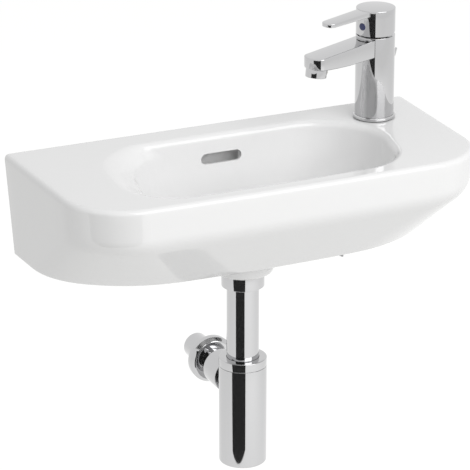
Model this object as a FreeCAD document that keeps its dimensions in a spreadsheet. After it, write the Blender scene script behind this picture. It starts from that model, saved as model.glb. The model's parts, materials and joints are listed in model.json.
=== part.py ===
import FreeCAD, Part
import math
import os
import re
import Sketcher

# Wall hung hand basin with a side-mounted single-lever tap, a pop-up waste and a bottle trap.
# Millimetres. X runs along the wall, -Y points to the user, +Z is up. The wall plane is Y = 0,
# and the origin is the middle of the two wall bolt holes, on the back face of the ceramic.

Vector = FreeCAD.Vector
Rotation = FreeCAD.Rotation
X_AXIS = Vector(1, 0, 0)
Y_AXIS = Vector(0, 1, 0)
Z_AXIS = Vector(0, 0, 1)

# alias, value in mm, deg or a count, what it sets
SIZES = [
    ("basin_width", 500, "ceramic, side to side at the wall"),
    ("basin_depth", 235, "ceramic, wall to the middle of the front"),
    ("front_bow", 4, "how far the front bows out between its corners"),
    ("side_taper", 5, "how far each side draws in towards the front"),
    ("plan_corner", 72, "radius of the front corners at the rim"),
    ("rim_height", 60, "rim above the wall bolt holes"),
    ("crease_drop", 46, "rim down to the soft crease in the outer wall"),
    ("crease_lean", 3.5, "how far the upright band leans in"),
    ("crease_blend", 11, "half height of the rounding across the crease"),
    ("skirt_drop", 120, "rim down to the lower edge of the outer wall"),
    ("skirt_lean", 9, "how far each side leans in over the whole drop"),
    ("skirt_front", 163.5, "wall to the front of the lower edge"),
    ("skirt_bow", 9, "bow of the lower edge's front"),
    ("skirt_corner_side", 60.5, "lower edge's corner, along the side"),
    ("skirt_corner_front", 80, "lower edge's corner, along the front"),
    ("ceramic_wall", 11, "wall of the skirt, back and bowl"),
    ("deck_thick", 14, "thickness of the deck round the bowl"),
    ("rim_round", 6.5, "rounding of the outer rim edge"),
    ("bowl_round", 6, "rounding of the bowl's edge"),
    ("foot_round", 3, "rounding of the lower edges"),
    ("bowl_depth", 98, "rim down to the bowl's floor"),
    ("bowl_fullness", 2.4, "exponent of the bowl's wall curve"),
    ("bowl_half", 175, "bowl, half its length"),
    ("bowl_back", 26, "wall to the bowl's back edge"),
    ("bowl_front", 218, "wall to the bowl's front edge"),
    ("bowl_taper", 2, "how much shorter each end of the bowl is at the front"),
    ("bowl_bow", 1.5, "bow of the bowl's front edge"),
    ("bowl_front_arc", 1500, "radius of that bow"),
    ("bowl_corner", 56, "bowl's front corners, radius"),
    ("left_cut", 32, "bowl's back left corner, cut along the back"),
    ("left_slope", 74, "the same cut, along the end"),
    ("left_back_round", 30, "rounding where that cut meets the back"),
    ("left_end_round", 80, "rounding where that cut meets the end"),
    ("right_cut", 53, "bowl's corner by the tap, cut along the back"),
    ("right_slope", 79, "the same cut, along the end"),
    ("right_back_round", 50, "rounding where that cut meets the back"),
    ("right_end_round", 45, "rounding where that cut meets the end"),
    ("floor_half", 78, "bowl floor, half its length"),
    ("floor_back", 54, "wall to the back of the bowl floor"),
    ("floor_front", 132, "wall to the front of the bowl floor"),
    ("floor_cut", 27, "bowl floor's back corners, cut along the back"),
    ("floor_slope", 37, "the same cuts, along the ends"),
    ("floor_taper", 16, "how much shorter each end of the floor is at the front"),
    ("floor_round", 20, "rounding of the floor's back corners"),
    ("floor_corner", 30, "bowl floor's front corners, radius"),
    ("floor_front_arc", 300, "radius of the floor's front edge"),
    ("drain_out", 91, "wall to the waste's axis"),
    ("boss_radius", 33.5, "boss under the waste"),
    ("boss_flare", 50, "boss where it meets the bowl"),
    ("boss_drop", 146, "rim down to the boss's face"),
    ("boss_root", 106, "rim down to the top of the boss"),
    ("waste_hole", 23, "hole for the waste, radius"),
    ("seat_radius", 33, "recess for the waste flange, radius"),
    ("seat_depth", 4.5, "recess below the bowl floor"),
    ("overflow_drop", 31, "rim down to the middle of the overflow slot"),
    ("overflow_length", 50, "overflow slot, end to end"),
    ("overflow_slot", 12.5, "overflow slot, height"),
    ("duct_width", 54, "overflow duct at the slot"),
    ("duct_gap", 8, "overflow duct, front to back"),
    ("duct_wall", 6, "ceramic round the overflow duct"),
    ("bolt_spacing", 280, "wall bolt holes, centre to centre"),
    ("bolt_hole", 7, "wall bolt holes, radius"),
    ("tap_side", 182.7, "centre line to the tap's axis"),
    ("tap_out", 54.4, "wall to the tap's axis"),
    ("tap_hole", 17.5, "tap hole, radius"),
    ("tap_yaw", 20.5, "spout turned to the front from straight along the wall"),
    ("gasket_thick", 1, "gasket under the tap"),
    ("ring_radius", 24.2, "base ring"),
    ("ring_thick", 3.8, "base ring"),
    ("ring_bore", 16.3, "bore of the base ring"),
    ("tap_radius", 22.4, "tap body and cap"),
    ("body_top", 99, "deck to the top of the tap body"),
    ("seam_gap", 1.5, "gap between the tap body and its cap"),
    ("cap_top", 130.5, "deck to the top of the cap"),
    ("spout_reach", 102, "tap axis to the spout's tip"),
    ("spout_width", 29.6, "spout"),
    ("spout_tip_top", 93.2, "deck to the spout tip's top"),
    ("spout_tip_under", 81, "deck to the spout tip's underside"),
    ("spout_root_top", 97.6, "deck to the top of the spout at the body"),
    ("spout_root_under", 76.4, "deck to the underside of the spout at the body"),
    ("spout_corner", 2.5, "rounding along the spout"),
    ("lever_reach", 75, "tap axis to the lever's tip"),
    ("lever_root", 21, "lever width at the cap"),
    ("lever_tip", 18, "lever width at the tip"),
    ("lever_thick", 4.5, "lever"),
    ("lever_fall", 2.4, "how much lower the lever's tip is than the cap"),
    ("lift_angle", 14, "how far the lever lifts, degrees"),
    ("pocket_radius", 18.2, "cartridge pocket"),
    ("pocket_floor", 62, "deck to the floor of the cartridge pocket"),
    ("cartridge_height", 26, "cartridge housing"),
    ("nut_thick", 7, "cartridge nut"),
    ("pivot_height", 80, "deck to the stem's pivot pin"),
    ("carrier_radius", 12.9, "turning carrier in the cartridge"),
    ("stem_width", 8, "cartridge stem, across the slot"),
    ("stem_depth", 9, "cartridge stem, along the slot"),
    ("stem_top", 121, "deck to the top of the stem"),
    ("pin_radius", 2, "pivot pin"),
    ("dome_radius", 24.9, "dome under the cap, about the pivot"),
    ("dome_wall", 1.2, "dome"),
    ("dome_hole", 12, "hole in the dome for the stem"),
    ("dome_seat", 95.5, "deck to the dome's seat"),
    ("cap_bore", 20, "hollow in the cap, radius"),
    ("cap_ceiling", 108, "deck to the ceiling of that hollow"),
    ("screw_height", 111.5, "deck to the grub screw's axis"),
    ("screw_radius", 2.5, "grub screw"),
    ("screw_length", 7, "grub screw"),
    ("plug_radius", 3.4, "indicator plug over the grub screw"),
    ("plug_depth", 4, "indicator plug"),
    ("aerator_setback", 12.5, "spout tip back to the aerator's axis"),
    ("aerator_seat", 80.8, "deck to the aerator's seat"),
    ("aerator_tilt", 8, "aerator tilted towards the tip, degrees"),
    ("aerator_radius", 11, "aerator collar"),
    ("aerator_drop", 9, "aerator collar below its seat"),
    ("aerator_thread", 9.5, "aerator thread, radius"),
    ("aerator_screwed", 6, "aerator thread, length"),
    ("aerator_bore", 8, "bore of the aerator collar"),
    ("channel_radius", 4.5, "waterway in the spout"),
    ("inlet_radius", 4.6, "M10x1 inlet threads in the tap's base, bore radius"),
    ("inlet_depth", 13, "inlet threads, depth"),
    ("way_radius", 4.25, "water ways from the inlets up to the cartridge"),
    ("inlet_across", 8, "inlets each side of the tap's axis"),
    ("inlet_back", 8, "inlets to one side of the rod"),
    ("stud_radius", 3, "mounting stud"),
    ("stud_out", 12, "tap axis to the mounting stud"),
    ("stud_depth", 12, "stud screwed into the tap"),
    ("stud_below", 32, "stud below the deck's underside"),
    ("clamp_radius", 21, "clamping plate under the deck"),
    ("clamp_thick", 3, "clamping plate, and its rubber pad"),
    ("clamp_slot", 14, "half width of the slot in the clamping plate"),
    ("clamp_edge", 5.5, "tap axis to the straight edge of the plate"),
    ("nut_flats", 10, "hexagon nut across flats"),
    ("nut_height", 5, "hexagon nut"),
    ("rod_tilt", 20, "lift rod tilted back, degrees"),
    ("rod_exit", 50, "deck to where the lift rod leaves the tap"),
    ("rod_radius", 2, "lift rod"),
    ("rod_above", 25, "lift rod beyond the tap's skin"),
    ("rod_below", 164, "lift rod below the place where it leaves the tap"),
    ("rod_travel", 34, "how far the lift rod pulls up"),
    ("knob_radius", 3.2, "knob on the lift rod"),
    ("knob_length", 11, "knob on the lift rod"),
    ("strap_thick", 1.5, "perforated strap"),
    ("strap_width", 14, "perforated strap"),
    ("strap_offset", 4.5, "lift rod's axis to the middle of the strap"),
    ("strap_hole", 5, "holes in the strap, radius"),
    ("strap_pitch", 14, "holes in the strap, apart"),
    ("clevis_length", 12, "clamp block on the strap"),
    ("lever_level", 134, "rim down to the ball of the pop-up lever"),
    ("ball_out", 29, "waste axis to the ball"),
    ("ball_radius", 6, "ball"),
    ("arm_radius", 2.25, "pop-up lever"),
    ("arm_past", 3, "pop-up lever past the waste's axis"),
    ("arm_spare", 17, "pop-up lever past the strap"),
    ("port_bore", 8, "side port of the waste, radius"),
    ("port_wall", 2, "side port of the waste"),
    ("port_length", 38, "waste axis to the mouth of the side port"),
    ("port_nut", 11.5, "nut of the side port, radius"),
    ("port_nut_lip", 3, "face of that nut"),
    ("flange_radius", 31.5, "waste flange"),
    ("flange_thick", 2.5, "waste flange"),
    ("flange_seal_thick", 1.5, "seal under the waste flange"),
    ("cup_radius", 21, "mouth of the waste"),
    ("cup_depth", 8, "cone of the waste's mouth"),
    ("waste_bore", 15, "bore of the waste flange"),
    ("waste_thread", 18, "thread between flange and waste body, radius"),
    ("flange_length", 28, "waste flange, top to bottom"),
    ("waste_radius", 20.4, "waste body"),
    ("waste_top", 117, "rim down to the top of the waste body"),
    ("waste_inside", 16, "bore of the waste body"),
    ("waste_socket", 14, "socket for the inlet tube in the waste body"),
    ("lower_gasket_thick", 2, "gasket under the boss"),
    ("back_nut_radius", 24.6, "nut under the boss"),
    ("back_nut_height", 8, "nut under the boss"),
    ("back_nut_chamfer", 3.6, "nut's lower chamfer"),
    ("tube_radius", 18.5, "inlet tube of the trap"),
    ("tube_wall", 1.2, "inlet tube"),
    ("tube_bottom", 346, "rim down to the inlet tube's lower end"),
    ("bottle_radius", 27.5, "bottle of the trap"),
    ("bottle_wall", 1.6, "bottle"),
    ("bottle_top", 251, "rim down to the top of the slip nut"),
    ("slip_nut_height", 10, "slip nut"),
    ("bottle_bottom", 381, "rim down to the bottom of the bottle"),
    ("bottle_floor", 5, "bottle's floor"),
    ("neck_radius", 24, "threaded neck of the bottle"),
    ("neck_height", 5.5, "threaded neck of the bottle"),
    ("cleaning_radius", 19, "cleaning plug"),
    ("cleaning_head", 22.5, "head of the cleaning plug"),
    ("cleaning_thick", 2.5, "head of the cleaning plug"),
    ("outlet_drop", 288, "rim down to the outlet's axis"),
    ("branch_radius", 19, "outlet branch of the bottle"),
    ("branch_wall", 2.2, "outlet branch"),
    ("branch_length", 42, "bottle axis to the end of the branch"),
    ("outlet_nut_radius", 21.5, "outlet nut"),
    ("outlet_nut_start", 30, "bottle axis to the outlet nut"),
    ("outlet_nut_end", 64, "bottle axis to the outlet nut's far end"),
    ("outlet_radius", 16, "outlet pipe"),
    ("outlet_wall", 1.2, "outlet pipe"),
    ("outlet_past", 40, "outlet pipe past the wall plane"),
    ("outlet_spigot", 15.6, "calibrated end of the outlet pipe, radius"),
    ("rosette_radius", 28, "wall rosette"),
    ("rosette_front", 24, "wall rosette's front face"),
    ("rosette_depth", 12, "wall rosette"),
    ("free_gap", 0.3, "gap between pieces that move apart"),
    ("running_fit", 0.05, "radial clearance of running fits"),
]

os.makedirs("parts", exist_ok=True)
doc = FreeCAD.newDocument("WallHungBasin")
sheet = doc.addObject("Spreadsheet::Sheet", "Sizes")
for row, (alias, number, meaning) in enumerate(SIZES, start=1):
    sheet.set("A%d" % row, alias)
    sheet.set("B%d" % row, str(number))
    sheet.setAlias("B%d" % row, alias)
    sheet.set("C%d" % row, meaning)
doc.recompute()
ALIASES = {alias for alias, number, meaning in SIZES}

# Places that several pieces share, as expressions of the sizes.
RIM = "rim_height"
DRAIN = ("0", "-drain_out")
TAP = ("tap_side", "-tap_out")
BODY_FOOT = "gasket_thick + ring_thick"
CAP_FOOT = "body_top + seam_gap"
FLANGE_TOP = "bowl_depth + seat_depth - flange_seal_thick - flange_thick"
WASTE_BOTTOM = "boss_drop + lower_gasket_thick + back_nut_height - 2"
HOUSING_FLOOR = "pocket_floor + 1"
CARRIER_FOOT = "pocket_floor + 5"
CARRIER_TOP = "pocket_floor + 1 + cartridge_height + nut_thick"

sub_parts = []


def bound(text):
    """The expression with each size's name written as the sheet's alias."""
    return re.sub(r"[a-z_]+", lambda m: "Sizes." + m.group() if m.group() in ALIASES else m.group(), text)


def mm(text):
    """The value of an expression of the sizes."""
    return float(sheet.evalExpression(bound(text)))


def keep(piece, label):
    """Registers a finished sub-part under the name of its file."""
    piece.Label = label
    sub_parts.append(piece)
    return piece


def place(piece, x="0", y="0", z="0", turned=None):
    """Sets the sub-part's rotation and binds its position to the sizes."""
    piece.Placement = FreeCAD.Placement(Vector(), turned or Rotation())
    for axis, text in (("x", x), ("y", y), ("z", z)):
        piece.setExpression("Placement.Base." + axis, bound(text))
    return piece


def turned(label, profile):
    """A PartDesign body turned about Z: profile lists (radius, height) expressions."""
    body = doc.addObject("PartDesign::Body", label)
    sketch = body.newObject("Sketcher::SketchObject", label + "_profile")
    plane = [f for f in body.Origin.OriginFeatures if f.Role == "XZ_Plane"][0]
    sketch.AttachmentSupport = [(plane, "")]
    sketch.MapMode = "FlatFace"
    points = [Vector(mm(r), mm(z), 0) for r, z in profile]
    count = len(points)
    for i in range(count):
        sketch.addGeometry(Part.LineSegment(points[i], points[(i + 1) % count]), False)
    for i in range(count):
        sketch.addConstraint(Sketcher.Constraint("Coincident", i, 2, (i + 1) % count, 1))
    for i, (r, z) in enumerate(profile):
        for kind, text in (("DistanceX", r), ("DistanceY", z)):
            index = sketch.addConstraint(Sketcher.Constraint(kind, -1, 1, i, 1, mm(text)))
            sketch.setExpression("Constraints[%d]" % index, bound(text))
    revolution = body.newObject("PartDesign::Revolution", label + "_turned")
    revolution.Profile = sketch
    revolution.ReferenceAxis = (sketch, ["V_Axis"])
    revolution.Angle = 360
    return keep(body, label)


def ring(label, inner, outer, low, high):
    """A plain ring or sleeve turned about Z."""
    return turned(label, [(inner, low), (outer, low), (outer, high), (inner, high)])


def disc(label, outer, low, high):
    """A plain round bar or disc turned about Z."""
    return turned(label, [("0", low), (outer, low), (outer, high), ("0", high)])


def feature(label, shape):
    """A sub-part whose shape comes from the functions below."""
    piece = doc.addObject("Part::Feature", label)
    piece.Shape = shape
    return keep(piece, label)


def cylinder(radius, low, high, x=0, y=0):
    """A cylinder along Z between two heights."""
    return Part.makeCylinder(radius, high - low, Vector(x, y, low))


def box(x0, x1, y0, y1, z0, z1):
    """A box between two corners."""
    return Part.makeBox(x1 - x0, y1 - y0, z1 - z0, Vector(x0, y0, z0))


def outline(corners, level):
    """Closed wire of straight runs and arcs; corners lists (x, y, radius)."""
    arcs = []
    count = len(corners)
    for i, (x, y, radius) in enumerate(corners):
        before = corners[i - 1]
        after = corners[(i + 1) % count]
        corner = Vector(x, y, level)
        back = (Vector(before[0], before[1], level) - corner).normalize()
        ahead = (Vector(after[0], after[1], level) - corner).normalize()
        half = back.getAngle(ahead) / 2
        run = radius / math.tan(half)
        inward = (back + ahead).normalize()
        middle = corner + inward * (radius / math.sin(half) - radius)
        arcs.append((corner + back * run, middle, corner + ahead * run))
    edges = []
    for i, (start, middle, end) in enumerate(arcs):
        edges.append(Part.Arc(start, middle, end).toShape())
        edges.append(Part.LineSegment(end, arcs[(i + 1) % count][0]).toShape())
    return Part.Wire(edges)


def grown(corners, grow):
    """The same corners moved outwards by grow, with their radii to suit."""
    result = []
    count = len(corners)
    for i, (x, y, radius) in enumerate(corners):
        before = corners[i - 1]
        after = corners[(i + 1) % count]
        back = Vector(x - before[0], y - before[1], 0).normalize()
        ahead = Vector(after[0] - x, after[1] - y, 0).normalize()
        out_back = Vector(back.y, -back.x, 0)
        out_ahead = Vector(ahead.y, -ahead.x, 0)
        shift = (out_back + out_ahead) * (grow / (1 + out_back.dot(out_ahead)))
        result.append((x + shift.x, y + shift.y, max(radius + grow, 1)))
    return result


def blend(first, second, share):
    """Corners part of the way from the first list to the second."""
    return [tuple(p + (q - p) * share for p, q in zip(a, b)) for a, b in zip(first, second)]


def loft(wires, ruled):
    """A closed solid through the wires."""
    return Part.makeLoft(wires, True, ruled)


def level_edges(shape, level, wanted):
    """Edges that lie at one height and whose middle passes the test."""
    found = []
    for edge in shape.Edges:
        box_of_edge = edge.BoundBox
        if abs(box_of_edge.ZMin - level) < 1e-4 and abs(box_of_edge.ZMax - level) < 1e-4:
            if wanted(edge.CenterOfMass):
                found.append(edge)
    return found


# ---------------------------------------------------------------- ceramic basin

def wall_outline(side_back, side_front, depth, bow, along_side, along_front, corner_share):
    """Corners of the outer wall at one level, anticlockwise seen from above.

    Each front corner is cut to two flatter turns, and every arc is as large as its runs allow:
    corner_share is the part of the cut's length that its first arc takes.
    """
    cut = math.hypot(along_side, along_front)
    first_turn = math.atan2(along_front, along_side)
    bow_turn = math.atan2(bow, side_front - along_front)
    second_turn = math.pi / 2 - first_turn - bow_turn
    first_run = cut * corner_share
    second_run = cut * (0.98 - corner_share)
    front_run = side_front - along_front - second_run - 2
    first_radius = first_run / math.tan(first_turn / 2)
    second_radius = second_run / math.tan(second_turn / 2)
    left = [
        (-side_back, 0, mm("foot_round")),
        (-side_front, -(depth - along_side), first_radius),
        (-(side_front - along_front), -depth, second_radius),
        (0, -(depth + bow), front_run / math.tan(bow_turn)),
    ]
    right = [(-x, y, r) for x, y, r in reversed(left[:3])]
    return left + right


def wall_outlines():
    """The outer wall's corners at the rim, at the crease and at the lower edge."""
    half = mm("basin_width / 2")
    cut = mm("plan_corner") * (1 - math.tan(math.radians(22.5)))
    lean = mm("crease_lean")
    bow = mm("front_bow")
    depth = mm("basin_depth - front_bow")
    front = half - mm("side_taper")
    rim = wall_outline(half, front, depth, bow, cut, cut, 0.49)
    crease = wall_outline(half - lean, front - lean, depth - lean, bow, cut, cut, 0.49)
    foot_half = half - mm("skirt_lean")
    foot = wall_outline(
        foot_half, foot_half - lean, mm("skirt_front - skirt_bow"), mm("skirt_bow"),
        mm("skirt_corner_side"), mm("skirt_corner_front"), 0.45,
    )
    return rim, crease, foot


def weighted(lists, weights):
    """Corners summed from several lists, each with its weight."""
    rows = zip(*lists)
    return [tuple(sum(w * v for w, v in zip(weights, values)) for values in zip(*row)) for row in rows]


def wall_solid(inset, top, overshoot, behind=0):
    """The outer wall filled solid, drawn in by inset, from top down past the lower edge.

    Two ruled bands meet at the crease, which a smooth band rounds along a quadratic curve. The
    back corners are moved back by behind, so that the wall side can be cut flat afterwards.
    """
    rim, crease, foot = [grown(corners, -inset) for corners in wall_outlines()]
    for corners in (rim, crease, foot):
        for end in (0, -1):
            x, y, radius = corners[end]
            corners[end] = (x, y + behind, radius)
    rim_level = mm(RIM)
    crease_level = rim_level - mm("crease_drop")
    foot_level = rim_level - mm("skirt_drop")
    half = mm("crease_blend")

    def corners_at(level):
        if level >= crease_level:
            return blend(crease, rim, (level - crease_level) / (rim_level - crease_level))
        return blend(crease, foot, (crease_level - level) / (crease_level - foot_level))

    upper = corners_at(crease_level + half)
    lower = corners_at(crease_level - half)

    def rounded_at(step):
        weights = ((1 + step) ** 2 / 4, (1 - step ** 2) / 2, (1 - step) ** 2 / 4)
        return outline(weighted((upper, crease, lower), weights), crease_level + step * half)

    foot_end = foot_level - overshoot
    upper_band = loft([outline(corners_at(top), top), rounded_at(1)], True)
    blend_band = loft([rounded_at(step) for step in (1, 0.5, 0, -0.5, -1)], False)
    lower_band = loft([rounded_at(-1), outline(corners_at(foot_end), foot_end)], True)
    return upper_band.fuse([blend_band, lower_band]).removeSplitter()


def bowl_outlines():
    """The bowl's corners at its edge and at its floor, anticlockwise seen from above."""
    half = mm("bowl_half")
    back = -mm("bowl_back")
    front = -mm("bowl_front")
    front_half = mm("bowl_half - bowl_taper")
    corner = mm("bowl_corner")
    edge = [
        (-half + mm("left_cut"), back, mm("left_back_round")),
        (-half, back - mm("left_slope"), mm("left_end_round")),
        (-front_half, front, corner),
        (0, front - mm("bowl_bow"), mm("bowl_front_arc")),
        (front_half, front, corner),
        (half, back - mm("right_slope"), mm("right_end_round")),
        (half - mm("right_cut"), back, mm("right_back_round")),
    ]
    half = mm("floor_half")
    back = -mm("floor_back")
    front = -mm("floor_front")
    front_half = mm("floor_half - floor_taper")
    corner = mm("floor_corner")
    back_round = mm("floor_round")
    floor = [
        (-half + mm("floor_cut"), back, back_round),
        (-half, back - mm("floor_slope"), back_round),
        (-front_half, front, corner),
        (0, front - mm("bowl_bow"), mm("floor_front_arc")),
        (front_half, front, corner),
        (half, back - mm("floor_slope"), back_round),
        (half - mm("floor_cut"), back, back_round),
    ]
    return edge, floor


def bowl_solid(grow):
    """The bowl's hollow, or with grow the ceramic round it, to the same wall curve."""
    edge, floor = bowl_outlines()
    power = mm("bowl_fullness")
    wires = []
    for share in (0, 0.3, 0.55, 0.75, 0.9, 0.97, 1):
        inwards = (1 - share ** power) ** (1 / power)
        corners = grown(blend(floor, edge, inwards), grow)
        wires.append(outline(corners, mm(RIM) - share * (mm("bowl_depth") + grow)))
    return loft(wires, False)


def duct_solid(grow):
    """The overflow duct: it runs down behind the bowl and forward to the waste."""
    rim = mm(RIM)
    width = mm("duct_width / 2") + grow
    gap = mm("duct_gap / 2") + grow
    stations = [
        (mm("bowl_back") - 8, mm("overflow_drop - overflow_slot") - grow, width),
        (mm("bowl_back") - 6, mm("overflow_drop + 20"), width),
        (mm("floor_back") - 24, mm("bowl_depth") - 6, width * 0.7),
        (mm("floor_back") - 6, mm("bowl_depth") + 8, width * 0.5),
        (mm("drain_out - waste_hole") + 5, mm("bowl_depth") + 28, width * 0.4),
    ]
    wires = []
    for out, drop, half in stations:
        corners = [(-half, -out + gap), (-half, -out - gap), (half, -out - gap), (half, -out + gap)]
        points = [Vector(x, y, rim - drop) for x, y in corners]
        wires.append(Part.makePolygon(points + points[:1]))
    return loft(wires, True)


def overflow_slot():
    """The slot through the bowl's back wall into the duct."""
    radius = mm("overflow_slot / 2")
    run = mm("overflow_length / 2") - radius
    level = mm(RIM) - mm("overflow_drop")
    start = -mm("bowl_back") + 8
    depth = 26
    left = Part.makeCylinder(radius, depth, Vector(-run, start, level), -Y_AXIS)
    right = Part.makeCylinder(radius, depth, Vector(run, start, level), -Y_AXIS)
    middle = box(-run, run, start - depth, start, level - radius, level + radius)
    return left.fuse([right, middle]).removeSplitter()


def port_direction():
    """Level direction from the waste's axis to the strap, with the lever level."""
    strap = tap_turn().multVec(Vector(strap_x(), 0, 0)) + Vector(mm("tap_side"), -mm("tap_out"), 0)
    run = strap - Vector(0, -mm("drain_out"), 0)
    return run


def strap_x():
    """Where the lever crosses the strap in mid travel, from the tap's axis towards the spout."""
    tilt = math.radians(mm("rod_tilt"))
    fall = mm("rod_exit") + mm("lever_level")
    return fall * math.tan(tilt) - mm("tap_radius") + mm("strap_offset")


def tap_turn():
    """The tap's own X points along its spout."""
    return Rotation(Z_AXIS, 180 + mm("tap_yaw"))


def make_basin():
    rim = mm(RIM)
    outer = wall_solid(0, rim, 0, 1)
    hollow = wall_solid(mm("ceramic_wall"), rim - mm("deck_thick"), 1)
    drain = Vector(0, -mm("drain_out"), 0)
    boss_root = rim - mm("boss_root")
    boss_face = rim - mm("boss_drop")
    boss_foot = drain + Vector(0, 0, boss_face)
    boss = Part.makeCone(mm("boss_radius"), mm("boss_flare"), boss_root - boss_face, boss_foot)
    bowl_wall = bowl_solid(mm("ceramic_wall"))
    duct_wall = duct_solid(mm("duct_wall"))
    hollow = hollow.cut(bowl_wall.fuse([boss, duct_wall]))
    body = outer.cut(hollow)
    below = boss.fuse(bowl_wall).common(box(-200, 200, -230, -12, boss_face - 1, rim - mm("skirt_drop")))
    body = body.fuse(below).removeSplitter()
    body = body.cut(bowl_solid(0))
    inside = grown(wall_outlines()[0], -mm("rim_round + 1"))
    fence = Part.Face(outline(inside, rim))
    bowl_edge = level_edges(body, rim, lambda p: fence.isInside(p, 0.01, True))
    body = body.makeFillet(mm("bowl_round"), bowl_edge)
    past_corner = -mm("foot_round + 1")
    outer_edge = level_edges(body, rim, lambda p: p.y < past_corner and not fence.isInside(p, 0.01, True))
    body = body.makeFillet(mm("rim_round"), outer_edge)

    floor = rim - mm("bowl_depth")
    seat = Part.makeCylinder(mm("seat_radius"), 40, drain + Vector(0, 0, floor - mm("seat_depth")))
    waste = Part.makeCylinder(mm("waste_hole"), 200, drain + Vector(0, 0, boss_face - 20))
    seat = seat.common(box(-200, 200, -230, 0, floor - 10, floor + 6))
    toward = port_direction()
    angle = math.degrees(math.atan2(toward.y, toward.x))
    reach = mm("boss_flare") + 12
    half = mm("port_nut") + 1
    slot = box(0, reach, -half, half, boss_face - 1 - rim, half - mm("lever_level"))
    slot.Placement = FreeCAD.Placement(drain + Vector(0, 0, rim), Rotation(Z_AXIS, angle))
    tap_hole = cylinder(mm("tap_hole"), rim - 40, rim + 10, mm("tap_side"), -mm("tap_out"))
    bolt_start = mm("bolt_spacing / 2")
    bolts = [
        Part.makeCylinder(mm("bolt_hole"), mm("ceramic_wall") + 8, Vector(x, 2, 0), -Y_AXIS)
        for x in (-bolt_start, bolt_start)
    ]
    behind_wall = box(-300, 300, 0, 20, rim - mm("skirt_drop") - 5, rim + 5)
    return body.cut([seat, waste, slot, tap_hole, duct_solid(0), overflow_slot(), behind_wall] + bolts)


feature("basin", make_basin())


# ---------------------------------------------------------------- helpers of the tap

def on_tap(piece, level="0", ahead="0", across="0", tip=0):
    """Places a piece in the tap's frame: X along the spout, level above the deck."""
    yaw = "(180 + tap_yaw)"
    x = "tap_side + (%s) * cos(%s) - (%s) * sin(%s)" % (ahead, yaw, across, yaw)
    y = "-tap_out + (%s) * sin(%s) + (%s) * cos(%s)" % (ahead, yaw, across, yaw)
    rotation = tap_turn().multiply(Rotation(Y_AXIS, tip))
    return place(piece, x, y, "rim_height + " + level, rotation)


def bar_along_x(radius, start, end, y, z):
    """A round bar along the tap's X."""
    return Part.makeCylinder(radius, end - start, Vector(start, y, z), X_AXIS)


def spout_section(x, low, high, half_width):
    """A rounded upright section of the spout at x."""
    radius = mm("spout_corner")
    corners = [
        (low, -half_width, radius), (high, -half_width, radius),
        (high, half_width, radius), (low, half_width, radius),
    ]
    wire = outline(corners, 0)
    wire.Placement = FreeCAD.Placement(Vector(x, 0, 0), Rotation(Y_AXIS, -90))
    return wire


def rod_line():
    """A point on the lift rod's axis, where it leaves the tap, and its direction upwards."""
    tilt = math.radians(mm("rod_tilt"))
    return Vector(-mm("tap_radius"), 0, mm("rod_exit")), Vector(-math.sin(tilt), 0, math.cos(tilt))


def aerator_frame():
    """The aerator's seat in the tap's frame."""
    origin = Vector(mm("spout_reach - aerator_setback"), 0, mm("aerator_seat"))
    return FreeCAD.Placement(origin, Rotation(Y_AXIS, -mm("aerator_tilt")))


def make_tap_body():
    foot = mm(BODY_FOOT)
    top = mm("body_top")
    barrel = cylinder(mm("tap_radius"), foot, top)
    reach = mm("spout_reach")
    half = mm("spout_width / 2")
    root = spout_section(0, mm("spout_root_under"), mm("spout_root_top"), half)
    middle_top = mm("spout_root_top + (spout_tip_top - spout_root_top) * 0.6")
    middle = spout_section(reach * 0.6, mm("spout_root_under"), middle_top, half)
    tip = spout_section(reach, mm("spout_tip_under"), mm("spout_tip_top"), half)
    spout = loft([root, middle], True).fuse(loft([middle, tip], True))
    body = barrel.fuse(spout).removeSplitter()
    pocket = cylinder(mm("pocket_radius"), mm("pocket_floor"), top + 1)
    dome_seat = cylinder(mm("cap_bore - free_gap"), mm("dome_seat"), top + 1)
    channel = bar_along_x(mm("channel_radius"), 0, reach - mm("aerator_setback"), 0, mm("aerator_seat") + 6)
    thread = cylinder(mm("aerator_thread"), -1, mm("aerator_screwed") + 1.5)
    spotface = cylinder(mm("aerator_radius + free_gap"), -12, 0)
    aerator = thread.fuse(spotface)
    aerator.Placement = aerator_frame()
    origin, up = rod_line()
    bore = Part.makeCylinder(mm("rod_radius + running_fit"), 100, origin - up * 70, up)
    side = mm("inlet_across")
    back = -mm("inlet_back")
    inlet_end = foot + mm("inlet_depth")
    inlets = [cylinder(mm("inlet_radius"), foot - 1, inlet_end, x, back) for x in (-side, side)]
    ways = [cylinder(mm("way_radius"), foot, mm("pocket_floor") + 1, x, back) for x in (-side, side)]
    stud = cylinder(mm("stud_radius"), foot - 1, foot + mm("stud_depth"), 0, mm("stud_out"))
    body = body.cut([pocket, dome_seat, channel, aerator, bore, stud] + inlets + ways)
    rim = level_edges(body, top, lambda p: True)
    rim = [edge for edge in rim if edge.BoundBox.XMax > mm("tap_radius") - 0.1]
    return body.makeChamfer(0.4, rim)


def stem_bar(low):
    """The stem's square bar, from a height up to its top."""
    along = mm("stem_depth / 2")
    across = mm("stem_width / 2")
    return box(-along, along, -across, across, low, mm("stem_top"))


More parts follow.
